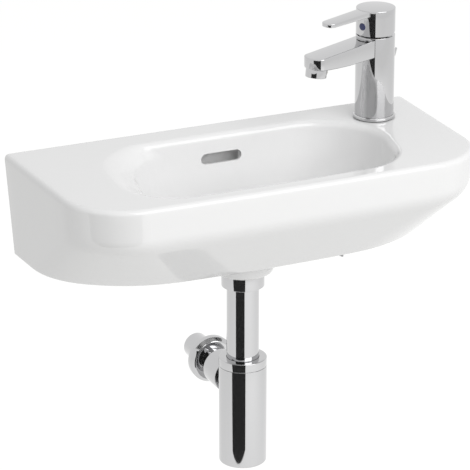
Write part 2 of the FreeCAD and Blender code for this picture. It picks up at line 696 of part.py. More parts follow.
def make_handle():
    foot = mm(CAP_FOOT)
    top = mm("cap_top")
    cap = cylinder(mm("tap_radius"), foot, top)
    crown = [e for e in cap.Edges if abs(e.BoundBox.ZMin - top) < 1e-4]
    cap = cap.makeFillet(0.8, crown)
    reach = mm("lever_reach")
    plan_corners = [
        (0, -mm("lever_root / 2"), 1), (reach, -mm("lever_tip / 2"), 4),
        (reach, mm("lever_tip / 2"), 4), (0, mm("lever_root / 2"), 1),
    ]
    plan = Part.Face(outline(plan_corners, foot)).extrude(Vector(0, 0, top - foot + 1))
    thick = mm("lever_thick")
    tip_top = top - mm("lever_fall")
    root_under = top - thick - 1.5
    side = [
        (0, top), (reach + 1, tip_top), (reach + 1, tip_top - thick),
        (mm("tap_radius"), root_under), (0, root_under),
    ]
    side_points = [Vector(x, -30, z) for x, z in side]
    side_face = Part.Face(Part.makePolygon(side_points + side_points[:1]))
    lever = plan.common(side_face.extrude(Vector(0, 60, 0)))
    body = cap.fuse(lever).removeSplitter()
    hollow = cylinder(mm("cap_bore"), foot - 1, mm("cap_ceiling"))
    socket = stem_bar(foot)
    screw = bar_along_x(mm("screw_radius"), 0, mm("tap_radius"), 0, mm("screw_height"))
    plug_start = mm("tap_radius - plug_depth")
    plug = bar_along_x(mm("plug_radius"), plug_start, mm("tap_radius") + 5, 0, mm("screw_height"))
    body = body.cut([hollow, socket, screw, plug])
    pivot = mm("pivot_height")
    relief = box(-60, 60, -60, 60, -60, mm("body_top + free_gap - pivot_height"))
    relief.Placement = FreeCAD.Placement(Vector(0, 0, pivot), Rotation(Y_AXIS, mm("lift_angle")))
    return body.cut(relief)


def make_carrier():
    low = mm(CARRIER_FOOT) + mm("free_gap")
    high = mm(CARRIER_TOP) - mm("free_gap")
    body = cylinder(mm("carrier_radius"), low, high)
    half = mm("stem_width / 2 + free_gap")
    lean = math.tan(math.radians(mm("lift_angle")))
    swing = mm("stem_depth / 2") + (high - mm("pivot_height")) * lean + 1.5
    slot = box(-swing, swing, -half, half, mm("pivot_height - pin_radius * 3 - 1.5"), high + 1)
    pin = Part.makeCylinder(mm("pin_radius"), 60, Vector(0, -30, mm("pivot_height")), Y_AXIS)
    return body.cut([slot, pin])


def make_stem():
    low = mm("pivot_height - pin_radius * 3")
    body = stem_bar(low)
    pin = Part.makeCylinder(mm("pin_radius + running_fit"), 60, Vector(0, -30, mm("pivot_height")), Y_AXIS)
    foot = Part.makeCylinder(mm("pin_radius * 3"), 60, Vector(0, -30, mm("pivot_height")), Y_AXIS)
    rounding = box(-20, 20, -20, 20, low - 1, mm("pivot_height")).cut(foot)
    return body.cut([pin, rounding])


def make_dome():
    centre = Vector(0, 0, mm("pivot_height"))
    inside = Part.makeSphere(mm("dome_radius - dome_wall"), centre)
    shell = Part.makeSphere(mm("dome_radius"), centre).cut(inside)
    shell = shell.cut(box(-50, 50, -50, 50, 0, mm("dome_seat")))
    return shell.cut(cylinder(mm("dome_hole"), mm("pivot_height"), mm("cap_top")))


def horseshoe(low, high):
    """A round plate with a slot open to one side, so that hoses and rod pass it."""
    plate = cylinder(mm("clamp_radius"), low, high)
    half = mm("clamp_slot")
    slot = box(-half, half, -mm("clamp_radius") - 1, mm("clamp_edge"), low - 1, high + 1)
    stud = cylinder(mm("stud_radius + free_gap"), low - 1, high + 1, 0, mm("stud_out"))
    return plate.cut([slot, stud])


def make_nut():
    prism = doc.addObject("Part::Prism", "stud_nut_hexagon")
    prism.Polygon = 6
    prism.setExpression("Circumradius", bound("nut_flats / sqrt(3)"))
    prism.setExpression("Height", bound("nut_height"))
    hole = doc.addObject("Part::Cylinder", "stud_nut_thread")
    hole.setExpression("Radius", bound("stud_radius"))
    hole.setExpression("Height", bound("nut_height"))
    nut = doc.addObject("Part::Cut", "stud_nut")
    nut.Base = prism
    nut.Tool = hole
    return keep(nut, "stud_nut")


# ---------------------------------------------------------------- tap

ring("tap_gasket", "ring_bore", "ring_radius - 1.5", "0", "gasket_thick")
on_tap(sub_parts[-1])
turned("base_ring", [
    ("ring_bore", "0"), ("ring_radius", "0"), ("ring_radius", "ring_thick - 1.2"),
    ("ring_radius - 1.2", "ring_thick"), ("ring_bore", "ring_thick"),
])
on_tap(sub_parts[-1], "gasket_thick")
on_tap(feature("tap_body", make_tap_body()))
disc("mounting_stud", "stud_radius", "-deck_thick - stud_below", BODY_FOOT + " + stud_depth")
on_tap(sub_parts[-1], across="stud_out")
low_pad = -mm("deck_thick + clamp_thick")
on_tap(feature("clamp_pad", horseshoe(low_pad, -mm("deck_thick"))))
on_tap(feature("clamp_plate", horseshoe(low_pad - mm("clamp_thick"), low_pad)))
on_tap(make_nut(), "(-deck_thick - 2 * clamp_thick - nut_height)", across="stud_out")

AERATOR = {"level": "aerator_seat", "ahead": "spout_reach - aerator_setback", "tip": -mm("aerator_tilt")}
turned("aerator_housing", [
    ("aerator_bore - 1", "-aerator_drop"), ("aerator_radius - 0.6", "-aerator_drop"),
    ("aerator_radius", "-aerator_drop + 0.6"), ("aerator_radius", "0"), ("aerator_thread", "0"),
    ("aerator_thread", "aerator_screwed"), ("aerator_bore", "aerator_screwed"),
    ("aerator_bore", "-aerator_drop + 1"), ("aerator_bore - 1", "-aerator_drop + 1"),
])
on_tap(sub_parts[-1], **AERATOR)
turned("aerator_insert", [
    ("0", "-aerator_drop + 1"), ("aerator_bore", "-aerator_drop + 1"),
    ("aerator_bore", "-aerator_drop + 4"), ("aerator_bore - 1.5", "-aerator_drop + 5"),
    ("aerator_bore - 1.5", "2"), ("aerator_bore", "3"),
    ("aerator_bore", "aerator_screwed"), ("0", "aerator_screwed"),
])
on_tap(sub_parts[-1], **AERATOR)
ring("aerator_seal", "aerator_bore - 2", "aerator_thread - 0.2", "aerator_screwed", "aerator_screwed + 1.5")
on_tap(sub_parts[-1], **AERATOR)

ring("cartridge_seal", "pocket_radius - 8", "pocket_radius - 5", "0", "1")
on_tap(sub_parts[-1], "pocket_floor")
turned("cartridge_housing", [
    ("0", "0"), ("pocket_radius - free_gap", "0"), ("pocket_radius - free_gap", "cartridge_height"),
    ("carrier_radius + free_gap", "cartridge_height"), ("carrier_radius + free_gap", "4"), ("0", "4"),
])
on_tap(sub_parts[-1], HOUSING_FLOOR)
ring("cartridge_nut", "carrier_radius + running_fit", "pocket_radius", "0", "nut_thick - 0.8")
on_tap(sub_parts[-1], HOUSING_FLOOR + " + cartridge_height")
on_tap(feature("dome_cover", make_dome()))
on_tap(feature("cartridge_carrier", make_carrier()))
stem_pin = doc.addObject("Part::Cylinder", "stem_pin")
stem_pin.setExpression("Radius", bound("pin_radius"))
stem_pin.setExpression("Height", bound("2 * carrier_radius - 3"))
keep(stem_pin, "stem_pin")
place(stem_pin, "tap_side + (carrier_radius - 1.5) * sin(180 + tap_yaw)",
      "-tap_out - (carrier_radius - 1.5) * cos(180 + tap_yaw)", "rim_height + pivot_height",
      tap_turn().multiply(Rotation(X_AXIS, -90)))
on_tap(feature("cartridge_stem", make_stem()))
on_tap(feature("handle", make_handle()))
disc("set_screw", "screw_radius", "stem_depth / 2", "stem_depth / 2 + screw_length")
on_tap(sub_parts[-1], "screw_height", tip=90)
turned("indicator_plug", [
    ("0", "tap_radius - plug_depth"), ("plug_radius", "tap_radius - plug_depth"),
    ("plug_radius", "tap_radius - 0.4"), ("plug_radius - 0.8", "tap_radius + 0.3"),
    ("0", "tap_radius + 0.5"),
])
on_tap(sub_parts[-1], "screw_height", tip=90)


# ---------------------------------------------------------------- lift rod and strap

def on_rod(piece):
    """Places a piece whose Z runs up the lift rod, from where the rod leaves the tap."""
    return on_tap(piece, "rod_exit", "-tap_radius", "0", -mm("rod_tilt"))


def strap_hole_place():
    """The strap's working hole, measured down the rod at rest."""
    tilt = math.radians(mm("rod_tilt"))
    return -(mm("rod_exit + lever_level") / math.cos(tilt)) - mm("rod_travel / 2")


def make_strap():
    hole = strap_hole_place()
    offset = mm("strap_offset")
    half = mm("strap_width / 2")
    thick = mm("strap_thick / 2")
    clamp_low = -mm("rod_below - 2")
    clamp_high = clamp_low + mm("clevis_length")
    plate = box(offset - thick, offset + thick, -half, half, hole - mm("strap_hole") - 2.2, clamp_high)
    block = box(-mm("rod_radius") - 2.5, offset - thick, -half + 1, half - 1, clamp_low, clamp_high)
    rod = cylinder(mm("rod_radius"), clamp_low - 1, clamp_high + 1)
    screw = bar_along_x(1.5, -20, 0, 0, (clamp_low + clamp_high) / 2)
    pitch = mm("strap_pitch")
    holes = [
        Part.makeCylinder(mm("strap_hole"), 20, Vector(offset - 10, 0, hole + pitch * step), X_AXIS)
        for step in range(3)
    ]
    return plate.fuse(block).removeSplitter().cut([rod, screw] + holes)


def make_strap_screw():
    level = -mm("rod_below - 2") + mm("clevis_length / 2")
    start = -mm("rod_radius")
    shank = bar_along_x(1.5, start - 2.5, start, 0, level)
    head = bar_along_x(4, start - 8.5, start - 2.5, 0, level)
    return shank.fuse(head).removeSplitter()


disc("lift_rod", "rod_radius", "-rod_below", "rod_above")
on_rod(sub_parts[-1])
turned("pull_knob", [
    ("rod_radius", "rod_above - knob_length + 3"), ("knob_radius - 0.8", "rod_above - knob_length + 3"),
    ("knob_radius", "rod_above - knob_length + 5"), ("knob_radius", "rod_above + 2"),
    ("knob_radius - 0.8", "rod_above + 3"), ("0", "rod_above + 3"), ("0", "rod_above"),
    ("rod_radius", "rod_above"),
])
on_rod(sub_parts[-1])
on_rod(feature("rod_strap", make_strap()))
on_rod(feature("strap_screw", make_strap_screw()))


# ---------------------------------------------------------------- pop-up lever and plug

def rest_tilt():
    """How far the pop-up lever's outer end hangs below level at rest, degrees."""
    run = port_direction().Length - mm("ball_out")
    rise = mm("rod_travel / 2") * math.cos(math.radians(mm("rod_tilt")))
    return math.degrees(math.asin(rise / run))


def port_turn(tip):
    """Rotation that lays Z along the side port, its outer end tip degrees below level."""
    toward = port_direction()
    yaw = Rotation(Z_AXIS, math.degrees(math.atan2(toward.y, toward.x)))
    return yaw.multiply(Rotation(Y_AXIS, 90 + tip))


def on_port(piece, tip=0):
    """Places a piece whose origin is the ball's centre."""
    toward = port_direction().normalize()
    centre = Vector(0, -mm("drain_out"), mm("rim_height - lever_level")) + toward * mm("ball_out")
    piece.Placement = FreeCAD.Placement(centre, port_turn(tip))
    return piece


def make_pop_up_lever():
    run = port_direction().Length - mm("ball_out")
    radius = mm("arm_radius")
    ball = Part.makeSphere(mm("ball_radius"))
    outer = cylinder(radius, 0, run + mm("arm_spare"))
    inner = cylinder(radius, -mm("ball_out + arm_past"), 0)
    return ball.fuse([outer, inner]).removeSplitter()


on_port(feature("pop_up_lever", make_pop_up_lever()), rest_tilt())
turned("ball_seat", [
    ("ball_radius - 0.6", "3.2"), ("port_bore", "3.2"), ("port_bore", "port_length - ball_out"),
    ("ball_radius - 1", "port_length - ball_out"),
])
on_port(sub_parts[-1])
turned("ball_nut", [
    ("arm_radius * 2.2", "port_length - ball_out"), ("port_bore + port_wall", "port_length - ball_out"),
    ("port_bore + port_wall", "1"), ("port_nut", "1"),
    ("port_nut", "port_length - ball_out + port_nut_lip - 1"),
    ("port_nut - 1", "port_length - ball_out + port_nut_lip"),
    ("arm_radius * 2.2", "port_length - ball_out + port_nut_lip"),
])
on_port(sub_parts[-1])

PLUG_TRAVEL = 2 * mm("ball_out") * math.sin(math.radians(rest_tilt()))
EYE_REST = mm("rim_height - lever_level") + PLUG_TRAVEL / 2
CLOSED_FOOT = mm(RIM) - mm(FLANGE_TOP) - mm("cup_depth") * 0.45


def make_plug_stem():
    """The plug's stem: a bar with an eye that the pop-up lever's inner end passes through."""
    eye = Part.makeCylinder(5.5, 16, Vector(0, 0, EYE_REST - 8))
    bar = cylinder(3, EYE_REST, CLOSED_FOOT + PLUG_TRAVEL)
    toward = port_direction()
    hole_start = Vector(0, 0, EYE_REST) - toward * (20 / toward.Length)
    hole = Part.makeCylinder(mm("arm_radius + 1.3"), 40, hole_start, toward)
    return eye.fuse(bar).removeSplitter().cut(hole)


place(feature("plug_stem", make_plug_stem()), *DRAIN)
turned("plug_cap", [
    ("0", "0"), ("cup_radius - 6.5", "0"), ("cup_radius - 3.6", "2"), ("cup_radius - 3.2", "3.2"),
    ("cup_radius - 5", "4.6"), ("cup_radius - 11", "5.8"), ("0", "6.4"),
])
PLUG_FOOT = Vector(0, -mm("drain_out"), CLOSED_FOOT + PLUG_TRAVEL)
sub_parts[-1].Placement = FreeCAD.Placement(PLUG_FOOT, Rotation())
ring("plug_seal", "3", "waste_bore - 1.2", "-1.8", "0")
sub_parts[-1].Placement = FreeCAD.Placement(PLUG_FOOT, Rotation())


# ---------------------------------------------------------------- waste

def below_rim(piece, drop="0"):
    """Places a piece on the waste's axis, its own zero at a drop below the rim."""
    return place(piece, *DRAIN, "rim_height - (%s)" % drop)


def make_waste_flange():
    """Flange, cup and threaded tube in one, with two windows for the overflow."""
    top = -mm(FLANGE_TOP)
    under = top - mm("flange_thick")
    cup = top - mm("cup_depth")
    bottom = top - mm("flange_length")
    neck = mm("waste_hole - free_gap")
    edge = mm("flange_radius")
    outer = [
        (0, top), (edge - 1, top), (edge, top - 1), (edge, under), (neck, under), (neck, cup),
        (mm("waste_thread"), cup - 1), (mm("waste_thread"), bottom), (0, bottom),
    ]
    points = [Vector(r, 0, z) for r, z in outer]
    body = Part.Face(Part.makePolygon(points + points[:1])).revolve(Vector(), Z_AXIS, 360)
    cone = Part.makeCone(mm("waste_bore"), mm("cup_radius"), mm("cup_depth"), Vector(0, 0, cup))
    bore = cylinder(mm("waste_bore"), bottom - 1, cup)
    low = -mm("waste_top") + 1
    windows = box(-6, 6, -30, 30, low, cup - 1.5)
    return body.cut([cone, bore, windows])


def make_waste_body():
    """Tube under the flange, with the side port for the pop-up lever."""
    top = -mm("waste_top")
    bottom = -mm(WASTE_BOTTOM)
    tube = cylinder(mm("waste_radius"), bottom, top)
    port_axis = Vector(0, 0, -mm("lever_level"))
    toward = port_direction().normalize()
    port = Part.makeCylinder(mm("port_bore + port_wall"), mm("port_length"), port_axis, toward)
    thread_end = -mm(FLANGE_TOP) - mm("flange_length")
    thread = cylinder(mm("waste_thread"), thread_end, top + 1)
    bore = cylinder(mm("waste_inside"), bottom - 1, top + 1)
    socket = cylinder(mm("tube_radius"), bottom - 1, bottom + mm("waste_socket"))
    seat_start = mm("waste_inside") + 2
    ball_room = Part.makeCylinder(mm("port_bore"), 60, port_axis + toward * seat_start, toward)
    arm_room = Part.makeCylinder(mm("arm_radius * 2.2"), 60, port_axis, toward)
    return tube.fuse(port).removeSplitter().cut([thread, bore, socket, ball_room, arm_room])


below_rim(feature("waste_flange", make_waste_flange()))
ring("flange_seal", "waste_hole + 1", "flange_radius - 0.5", "0", "flange_seal_thick")
below_rim(sub_parts[-1], "bowl_depth + seat_depth")
below_rim(feature("waste_body", make_waste_body()))
ring("lower_gasket", "waste_radius", "back_nut_radius - 0.8", "-lower_gasket_thick", "0")
below_rim(sub_parts[-1], "boss_drop")
turned("back_nut", [
    ("waste_radius", "0"), ("back_nut_radius", "0"),
    ("back_nut_radius", "-back_nut_height + back_nut_chamfer"),
    ("back_nut_radius - back_nut_chamfer", "-back_nut_height"), ("tube_radius", "-back_nut_height"),
    ("tube_radius", "-back_nut_height + 2"), ("waste_radius", "-back_nut_height + 2"),
])
below_rim(sub_parts[-1], "boss_drop + lower_gasket_thick")
TUBE_TOP = "-(" + WASTE_BOTTOM + ") + waste_socket"
ring("inlet_tube", "tube_radius - tube_wall", "tube_radius", "-tube_bottom", TUBE_TOP)
below_rim(sub_parts[-1])


# ---------------------------------------------------------------- bottle trap

turned("slip_nut", [
    ("tube_radius + free_gap", "0"), ("bottle_radius - 0.8", "0"), ("bottle_radius", "-0.8"),
    ("bottle_radius", "-slip_nut_height"), ("neck_radius", "-slip_nut_height"),
    ("neck_radius", "-2.2"), ("tube_radius + free_gap", "-2.2"),
])
below_rim(sub_parts[-1], "bottle_top")
turned("slip_washer", [
    ("tube_radius", "-2.2"), ("neck_radius - 0.4", "-2.2"),
    ("neck_radius - 0.4", "-slip_nut_height + neck_height"),
    ("tube_radius", "-slip_nut_height + neck_height"),
])
below_rim(sub_parts[-1], "bottle_top")


def make_bottle():
    """Bottle with its threaded neck, its outlet branch and the hole for the cleaning plug."""
    top = -mm("bottle_top + slip_nut_height")
    bottom = -mm("bottle_bottom")
    shell = cylinder(mm("bottle_radius"), bottom, top - mm("free_gap"))
    foot = [e for e in shell.Edges if abs(e.BoundBox.ZMax - bottom) < 1e-4]
    shell = shell.makeFillet(3, foot)
    neck = cylinder(mm("neck_radius"), top - 6, top + mm("neck_height"))
    axis = Vector(0, 0, -mm("outlet_drop"))
    branch = Part.makeCylinder(mm("branch_radius"), mm("branch_length"), axis, Y_AXIS)
    inside = cylinder(mm("bottle_radius - bottle_wall"), bottom + mm("bottle_floor"), top - 5)
    way = Part.makeCylinder(mm("branch_radius - branch_wall"), 90, axis, Y_AXIS)
    throat = cylinder(mm("tube_radius + free_gap"), top - 10, top + 20)
    opening = cylinder(mm("cleaning_radius"), bottom - 1, bottom + 20)
    recess = cylinder(mm("cleaning_head"), bottom - 1, bottom + mm("cleaning_thick"))
    return shell.fuse([neck, branch]).removeSplitter().cut([inside, way, throat, opening, recess])


below_rim(feature("bottle_body", make_bottle()))
turned("cleaning_plug", [
    ("0", "0"), ("cleaning_head - 0.4", "0"), ("cleaning_head - 0.4", "cleaning_thick - 0.8"),
    ("cleaning_radius", "cleaning_thick - 0.8"), ("cleaning_radius", "bottle_floor + 3"),
    ("cleaning_radius - 3", "bottle_floor + 3"), ("cleaning_radius - 3", "3"), ("0", "3"),
])
below_rim(sub_parts[-1], "bottle_bottom")
ring("cleaning_seal", "cleaning_radius", "cleaning_head - 0.4", "cleaning_thick - 0.8", "cleaning_thick")
below_rim(sub_parts[-1], "bottle_bottom")


def on_outlet(piece):
    """Places a piece on the outlet's axis, its Z running from the bottle's axis to the wall."""
    return place(piece, *DRAIN, "rim_height - outlet_drop", Rotation(X_AXIS, -90))


turned("outlet_nut", [
    ("branch_radius", "outlet_nut_start"), ("outlet_nut_radius", "outlet_nut_start"),
    ("outlet_nut_radius", "outlet_nut_end - 2"), ("outlet_nut_radius - 2", "outlet_nut_end"),
    ("outlet_radius + free_gap", "outlet_nut_end"), ("outlet_radius + free_gap", "branch_length + 8"),
    ("branch_radius", "branch_length + 6"),
])
on_outlet(sub_parts[-1])
turned("outlet_washer", [
    ("outlet_radius", "branch_length"), ("branch_radius - 0.2", "branch_length"),
    ("branch_radius - 0.2", "branch_length + 5.5"), ("outlet_radius", "branch_length + 7"),
])
on_outlet(sub_parts[-1])
OUTLET_END = "drain_out + outlet_past"
turned("outlet_pipe", [
    ("outlet_radius - outlet_wall", "branch_length - 8"), ("outlet_radius", "branch_length - 8"),
    ("outlet_radius", "drain_out"), ("outlet_spigot", "drain_out"), ("outlet_spigot", OUTLET_END),
    ("outlet_radius - outlet_wall", OUTLET_END),
])
on_outlet(sub_parts[-1])
turned("wall_rosette", [
    ("outlet_radius", "drain_out - rosette_depth"), ("rosette_front", "drain_out - rosette_depth"),
    ("rosette_radius", "drain_out - rosette_depth + 5"), ("rosette_radius", "drain_out"),
    ("rosette_radius - 1.5", "drain_out"), ("rosette_radius - 1.5", "drain_out - rosette_depth + 5.6"),
    ("rosette_front - 0.9", "drain_out - rosette_depth + 1.5"),
    ("outlet_radius", "drain_out - rosette_depth + 1.5"),
])
on_outlet(sub_parts[-1])


# ---------------------------------------------------------------- check and write

doc.recompute()
faults = []
for item in doc.Objects:
    if "Invalid" in item.State or "Error" in item.State:
        faults.append("%s is %s" % (item.Name, item.State))
for piece in sub_parts:
    if piece.Shape.isNull() or not piece.Shape.isValid():
        faults.append(piece.Label + " has no valid shape")
    elif len(piece.Shape.Solids) != 1:
        faults.append("%s has %d solids" % (piece.Label, len(piece.Shape.Solids)))
if faults:
    raise RuntimeError("; ".join(faults))
for piece in sub_parts:
    piece.Shape.exportStep("parts/%s.step" % piece.Label)
print("%d sub-parts written" % len(sub_parts))
print("The lever rests %.4f deg below level" % rest_tilt())
print("The plug travels %.4f mm" % PLUG_TRAVEL)
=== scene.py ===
"""Looks of a wall hung hand basin with its tap, pop-up waste and bottle trap.

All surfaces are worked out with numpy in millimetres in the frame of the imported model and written
to meshes in metres. X runs along the wall, -Y to the user, +Z up; the wall plane is Y = 0.
"""

import json
import math

import bmesh
import bpy
import numpy as np
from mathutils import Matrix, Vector


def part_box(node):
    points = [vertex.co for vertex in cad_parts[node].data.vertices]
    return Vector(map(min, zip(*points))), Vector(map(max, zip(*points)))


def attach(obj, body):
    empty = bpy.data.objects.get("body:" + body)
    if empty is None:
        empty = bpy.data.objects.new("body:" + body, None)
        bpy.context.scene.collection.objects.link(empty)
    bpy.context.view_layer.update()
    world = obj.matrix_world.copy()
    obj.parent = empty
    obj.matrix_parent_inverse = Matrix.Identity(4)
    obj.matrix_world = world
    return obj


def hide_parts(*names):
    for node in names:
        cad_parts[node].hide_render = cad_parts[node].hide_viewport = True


bl_info = {
    "name": "Wall Hung Basin",
    "version": (1, 0, 0),
    "blender": (4, 5, 0),
    "location": "View3D > Sidebar > Basin",
    "description": "Builds a glazed wall hung basin with a side-mounted tap and a chromed bottle trap",
    "category": "Add Mesh",
}

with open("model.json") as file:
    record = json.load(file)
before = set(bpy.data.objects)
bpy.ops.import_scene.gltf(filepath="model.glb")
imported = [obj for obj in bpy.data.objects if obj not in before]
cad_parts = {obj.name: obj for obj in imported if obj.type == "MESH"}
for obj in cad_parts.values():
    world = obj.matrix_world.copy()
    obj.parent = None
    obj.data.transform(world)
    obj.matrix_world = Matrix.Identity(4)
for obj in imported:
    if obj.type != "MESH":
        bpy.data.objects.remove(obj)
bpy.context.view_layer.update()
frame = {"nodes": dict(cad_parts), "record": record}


def span(node):
    """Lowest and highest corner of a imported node, in millimetres."""
    low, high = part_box(node)
    return np.array(low) * 1000, np.array(high) * 1000


def linear(code):
    """Linear colour of an sRGB hex code."""
    parts = np.array([int(code[i:i + 2], 16) for i in (1, 3, 5)]) / 255
    return tuple(np.where(parts <= 0.04045, parts / 12.92, ((parts + 0.055) / 1.055) ** 2.4))


BASIN_HIGH = span("basin")[1]
RING_LOW, RING_HIGH = span("base_ring")
BOTTLE_LOW, BOTTLE_HIGH = span("bottle_body")
TUBE_LOW, TUBE_HIGH = span("inlet_tube")
ROSETTE_LOW, ROSETTE_HIGH = span("wall_rosette")
RIM = BASIN_HIGH[2]
DRAIN = np.array([0.0, (TUBE_LOW[1] + TUBE_HIGH[1]) / 2, 0.0])
TAP = np.array([(RING_LOW[0] + RING_HIGH[0]) / 2, (RING_LOW[1] + RING_HIGH[1]) / 2, RIM])

# Millimetres: least radius left at a corner that is drawn in, half the height of the blend at the
# crease, rounding of the skirt's lower edge, rim down to the boss's face, and depth of the recess
# round the waste hole.
SMALLEST_RADIUS = 0.6
CREASE_BLEND = 11
FOOT_ROUND = 3
BOSS_DROP = 146
FLANGE_RECESS = 4.5

# Metres: points nearer than the first are merged, and edges shorter than the second are removed.
MERGE_DISTANCE = 2e-6
SHORTEST_EDGE = 1e-6


# ---------------------------------------------------------------- sizes and colours

def length(name, description, millimetres):
    """A length property, stored in metres."""
    return bpy.props.FloatProperty(
        name=name, description=description, default=millimetres / 1000, min=0, unit="LENGTH", precision=4)


def colour(name, description, code):
    """A colour property with its default from a hex code."""
    return bpy.props.FloatVectorProperty(
        name=name, description=description, default=linear(code), subtype="COLOR", min=0, max=1)


class CeramicSizes(bpy.types.PropertyGroup):
    """Sizes of the glazed basin."""

    width: length("Width", "Side to side at the wall", 2 * BASIN_HIGH[0])
    depth: length("Depth", "Wall to the middle of the front", 235)
    crease: length("Crease", "Rim down to the soft crease in the outer wall", 46)
    skirt: length("Skirt", "Rim down to the lower edge", RIM + 60)
    wall: length("Wall", "Thickness of skirt, back and bowl", 11)
    deck: length("Deck", "Thickness of the deck round the bowl", 14)
    rim_round: length("Rim rounding", "Rounding of the outer rim edge", 6.5)
    bowl_round: length("Bowl rounding", "Rounding of the bowl's edge", 8)
    bowl_depth: length("Bowl depth", "Rim down to the bowl's floor", 98)
    beach_drop: length("Beach drop", "Rim down to the soft crease of the bowl's left end", 15)
    bowl_length: length("Bowl length", "Bowl, end to end", 350)


class TapSizes(bpy.types.PropertyGroup):
    """Sizes of the single-lever tap."""

    body_radius: length("Body radius", "Radius of the body and its cap", 22.4)
    body_top: length("Body top", "Deck to the top of the body", 99)
    cap_foot: length("Cap foot", "Deck to the foot of the cap", 100.5)
    cap_top: length("Cap top", "Deck to the top of the cap", 130.5)
    spout_reach: length("Spout reach", "Tap axis to the spout's tip", 109)
    spout_width: length("Spout width", "Width of the spout", 29.6)
    lever_reach: length("Lever reach", "Tap axis to the lever's tip", 84)
    yaw: bpy.props.FloatProperty(
        name="Yaw", description="Spout turned to the front from straight along the wall",
        default=math.radians(20.5), subtype="ANGLE")


class TrapSizes(bpy.types.PropertyGroup):
    """Sizes of the waste and the bottle trap."""

    tube_radius: length("Tube radius", "Inlet tube", (TUBE_HIGH[0] - TUBE_LOW[0]) / 2)
    bottle_radius: length("Bottle radius", "Bottle", (BOTTLE_HIGH[0] - BOTTLE_LOW[0]) / 2)
    outlet_drop: length("Outlet drop", "Rim down to the outlet's axis", 288)
    outlet_radius: length("Outlet radius", "Outlet pipe", 16)
    rosette_radius: length("Rosette radius", "Wall rosette", (ROSETTE_HIGH[0] - ROSETTE_LOW[0]) / 2)


class Finishes(bpy.types.PropertyGroup):
    """Colours of the surfaces."""

    glaze: colour("Glaze", "Fired white glaze", "#F2F2F2")
    chrome: colour("Chrome", "Bright chrome plating", "#C3C3C4")
    rubber: colour("Rubber", "Black sealing rubber", "#1B1B1C")
    plastic: colour("Plastic", "White acetal of the inner parts", "#DCDAD3")
    zinc: colour("Zinc", "Zinc plated steel", "#A9ABAC")
    brass: colour("Brass", "Turned brass", "#C2A35F")
    marker: colour("Marker", "Moulded temperature marker", "#1E2A63")


class StudioSettings(bpy.types.PropertyGroup):
    """Camera, light and floor."""

    azimuth: bpy.props.FloatProperty(
        name="Azimuth", description="Camera round the object, from straight in front",
        default=math.radians(-24.89), subtype="ANGLE")
    elevation: bpy.props.FloatProperty(
        name="Elevation", description="Camera above the horizon",
        default=math.radians(20.77), subtype="ANGLE")
    distance: length("Distance", "Camera to the point it looks at", 3244.84)
    lens: bpy.props.FloatProperty(
        name="Lens", description="Focal length on a 36 mm sensor", default=222.28, unit="CAMERA")
    ambient: bpy.props.FloatProperty(
        name="Ambient", description="Even light from all round", default=0.6, min=0)
    key: bpy.props.FloatProperty(
        name="Key", description="Power of the large soft lamp", default=34, unit="POWER", min=0)
    floor_drop: length("Floor drop", "Rim down to the floor", 850)


GROUPS = {
    "basin_ceramic": CeramicSizes,
    "basin_tap": TapSizes,
    "basin_trap": TrapSizes,
    "basin_finishes": Finishes,
    "basin_studio": StudioSettings,
}


# ---------------------------------------------------------------- shapes

def half_angles(point):
    """Half the inner angle at each corner of closed polygons."""
    back = np.roll(point, 1, -2) - point
    ahead = np.roll(point, -1, -2) - point
    across = np.linalg.norm(back, axis=-1) * np.linalg.norm(ahead, axis=-1)
    return np.arccos(np.clip((back * ahead).sum(-1) / across, -1, 1)) / 2


def with_runs(corners):
    """Corners whose third value is the arc's run along its sides instead of its radius."""
    corners = corners.copy()
    corners[..., 2] /= np.tan(half_angles(corners[..., :2]))
    return corners


def with_radii(corners):
    """The opposite of with_runs."""
    corners = corners.copy()
    corners[..., 2] *= np.tan(half_angles(corners[..., :2]))
    return corners


def rounded(corners, arc=6, run=1):
    """Points along closed rounded polygons.

    corners[..., n, 3] holds x, y and a radius. Each corner becomes arc + 1 points on its circle,
    whose centre lies on the bisector at radius / sin(half the inner angle), and each straight run
    between two circles gets run points.
    """
    corners = np.asarray(corners, float)
    point, radius = corners[..., :2], corners[..., 2]
    back = np.roll(point, 1, -2) - point
    ahead = np.roll(point, -1, -2) - point
    back /= np.linalg.norm(back, axis=-1, keepdims=True)
    ahead /= np.linalg.norm(ahead, axis=-1, keepdims=True)
    half = np.arccos(np.clip((back * ahead).sum(-1), -1, 1)) / 2
    inward = back + ahead
    inward /= np.linalg.norm(inward, axis=-1, keepdims=True)
    centre = point + inward * (radius / np.sin(half))[..., None]
    reach = (radius / np.tan(half))[..., None]
    start = point + back * reach - centre
    end = point + ahead * reach - centre
    first = np.arctan2(start[..., 1], start[..., 0])
    sweep = (np.arctan2(end[..., 1], end[..., 0]) - first + np.pi) % (2 * np.pi) - np.pi
    angle = first[..., None] + sweep[..., None] * np.linspace(0, 1, arc + 1)
    spokes = np.stack([np.cos(angle), np.sin(angle)], -1)
    arcs = centre[..., None, :] + radius[..., None, None] * spokes
    leave = arcs[..., -1, :]
    arrive = np.roll(arcs[..., 0, :], -1, -2)
    share = np.linspace(0, 1, run + 2)[1:-1, None]
    runs = leave[..., None, :] + (arrive - leave)[..., None, :] * share
    points = np.concatenate([arcs, runs], -2)
    return points.reshape(*points.shape[:-3], -1, 2)


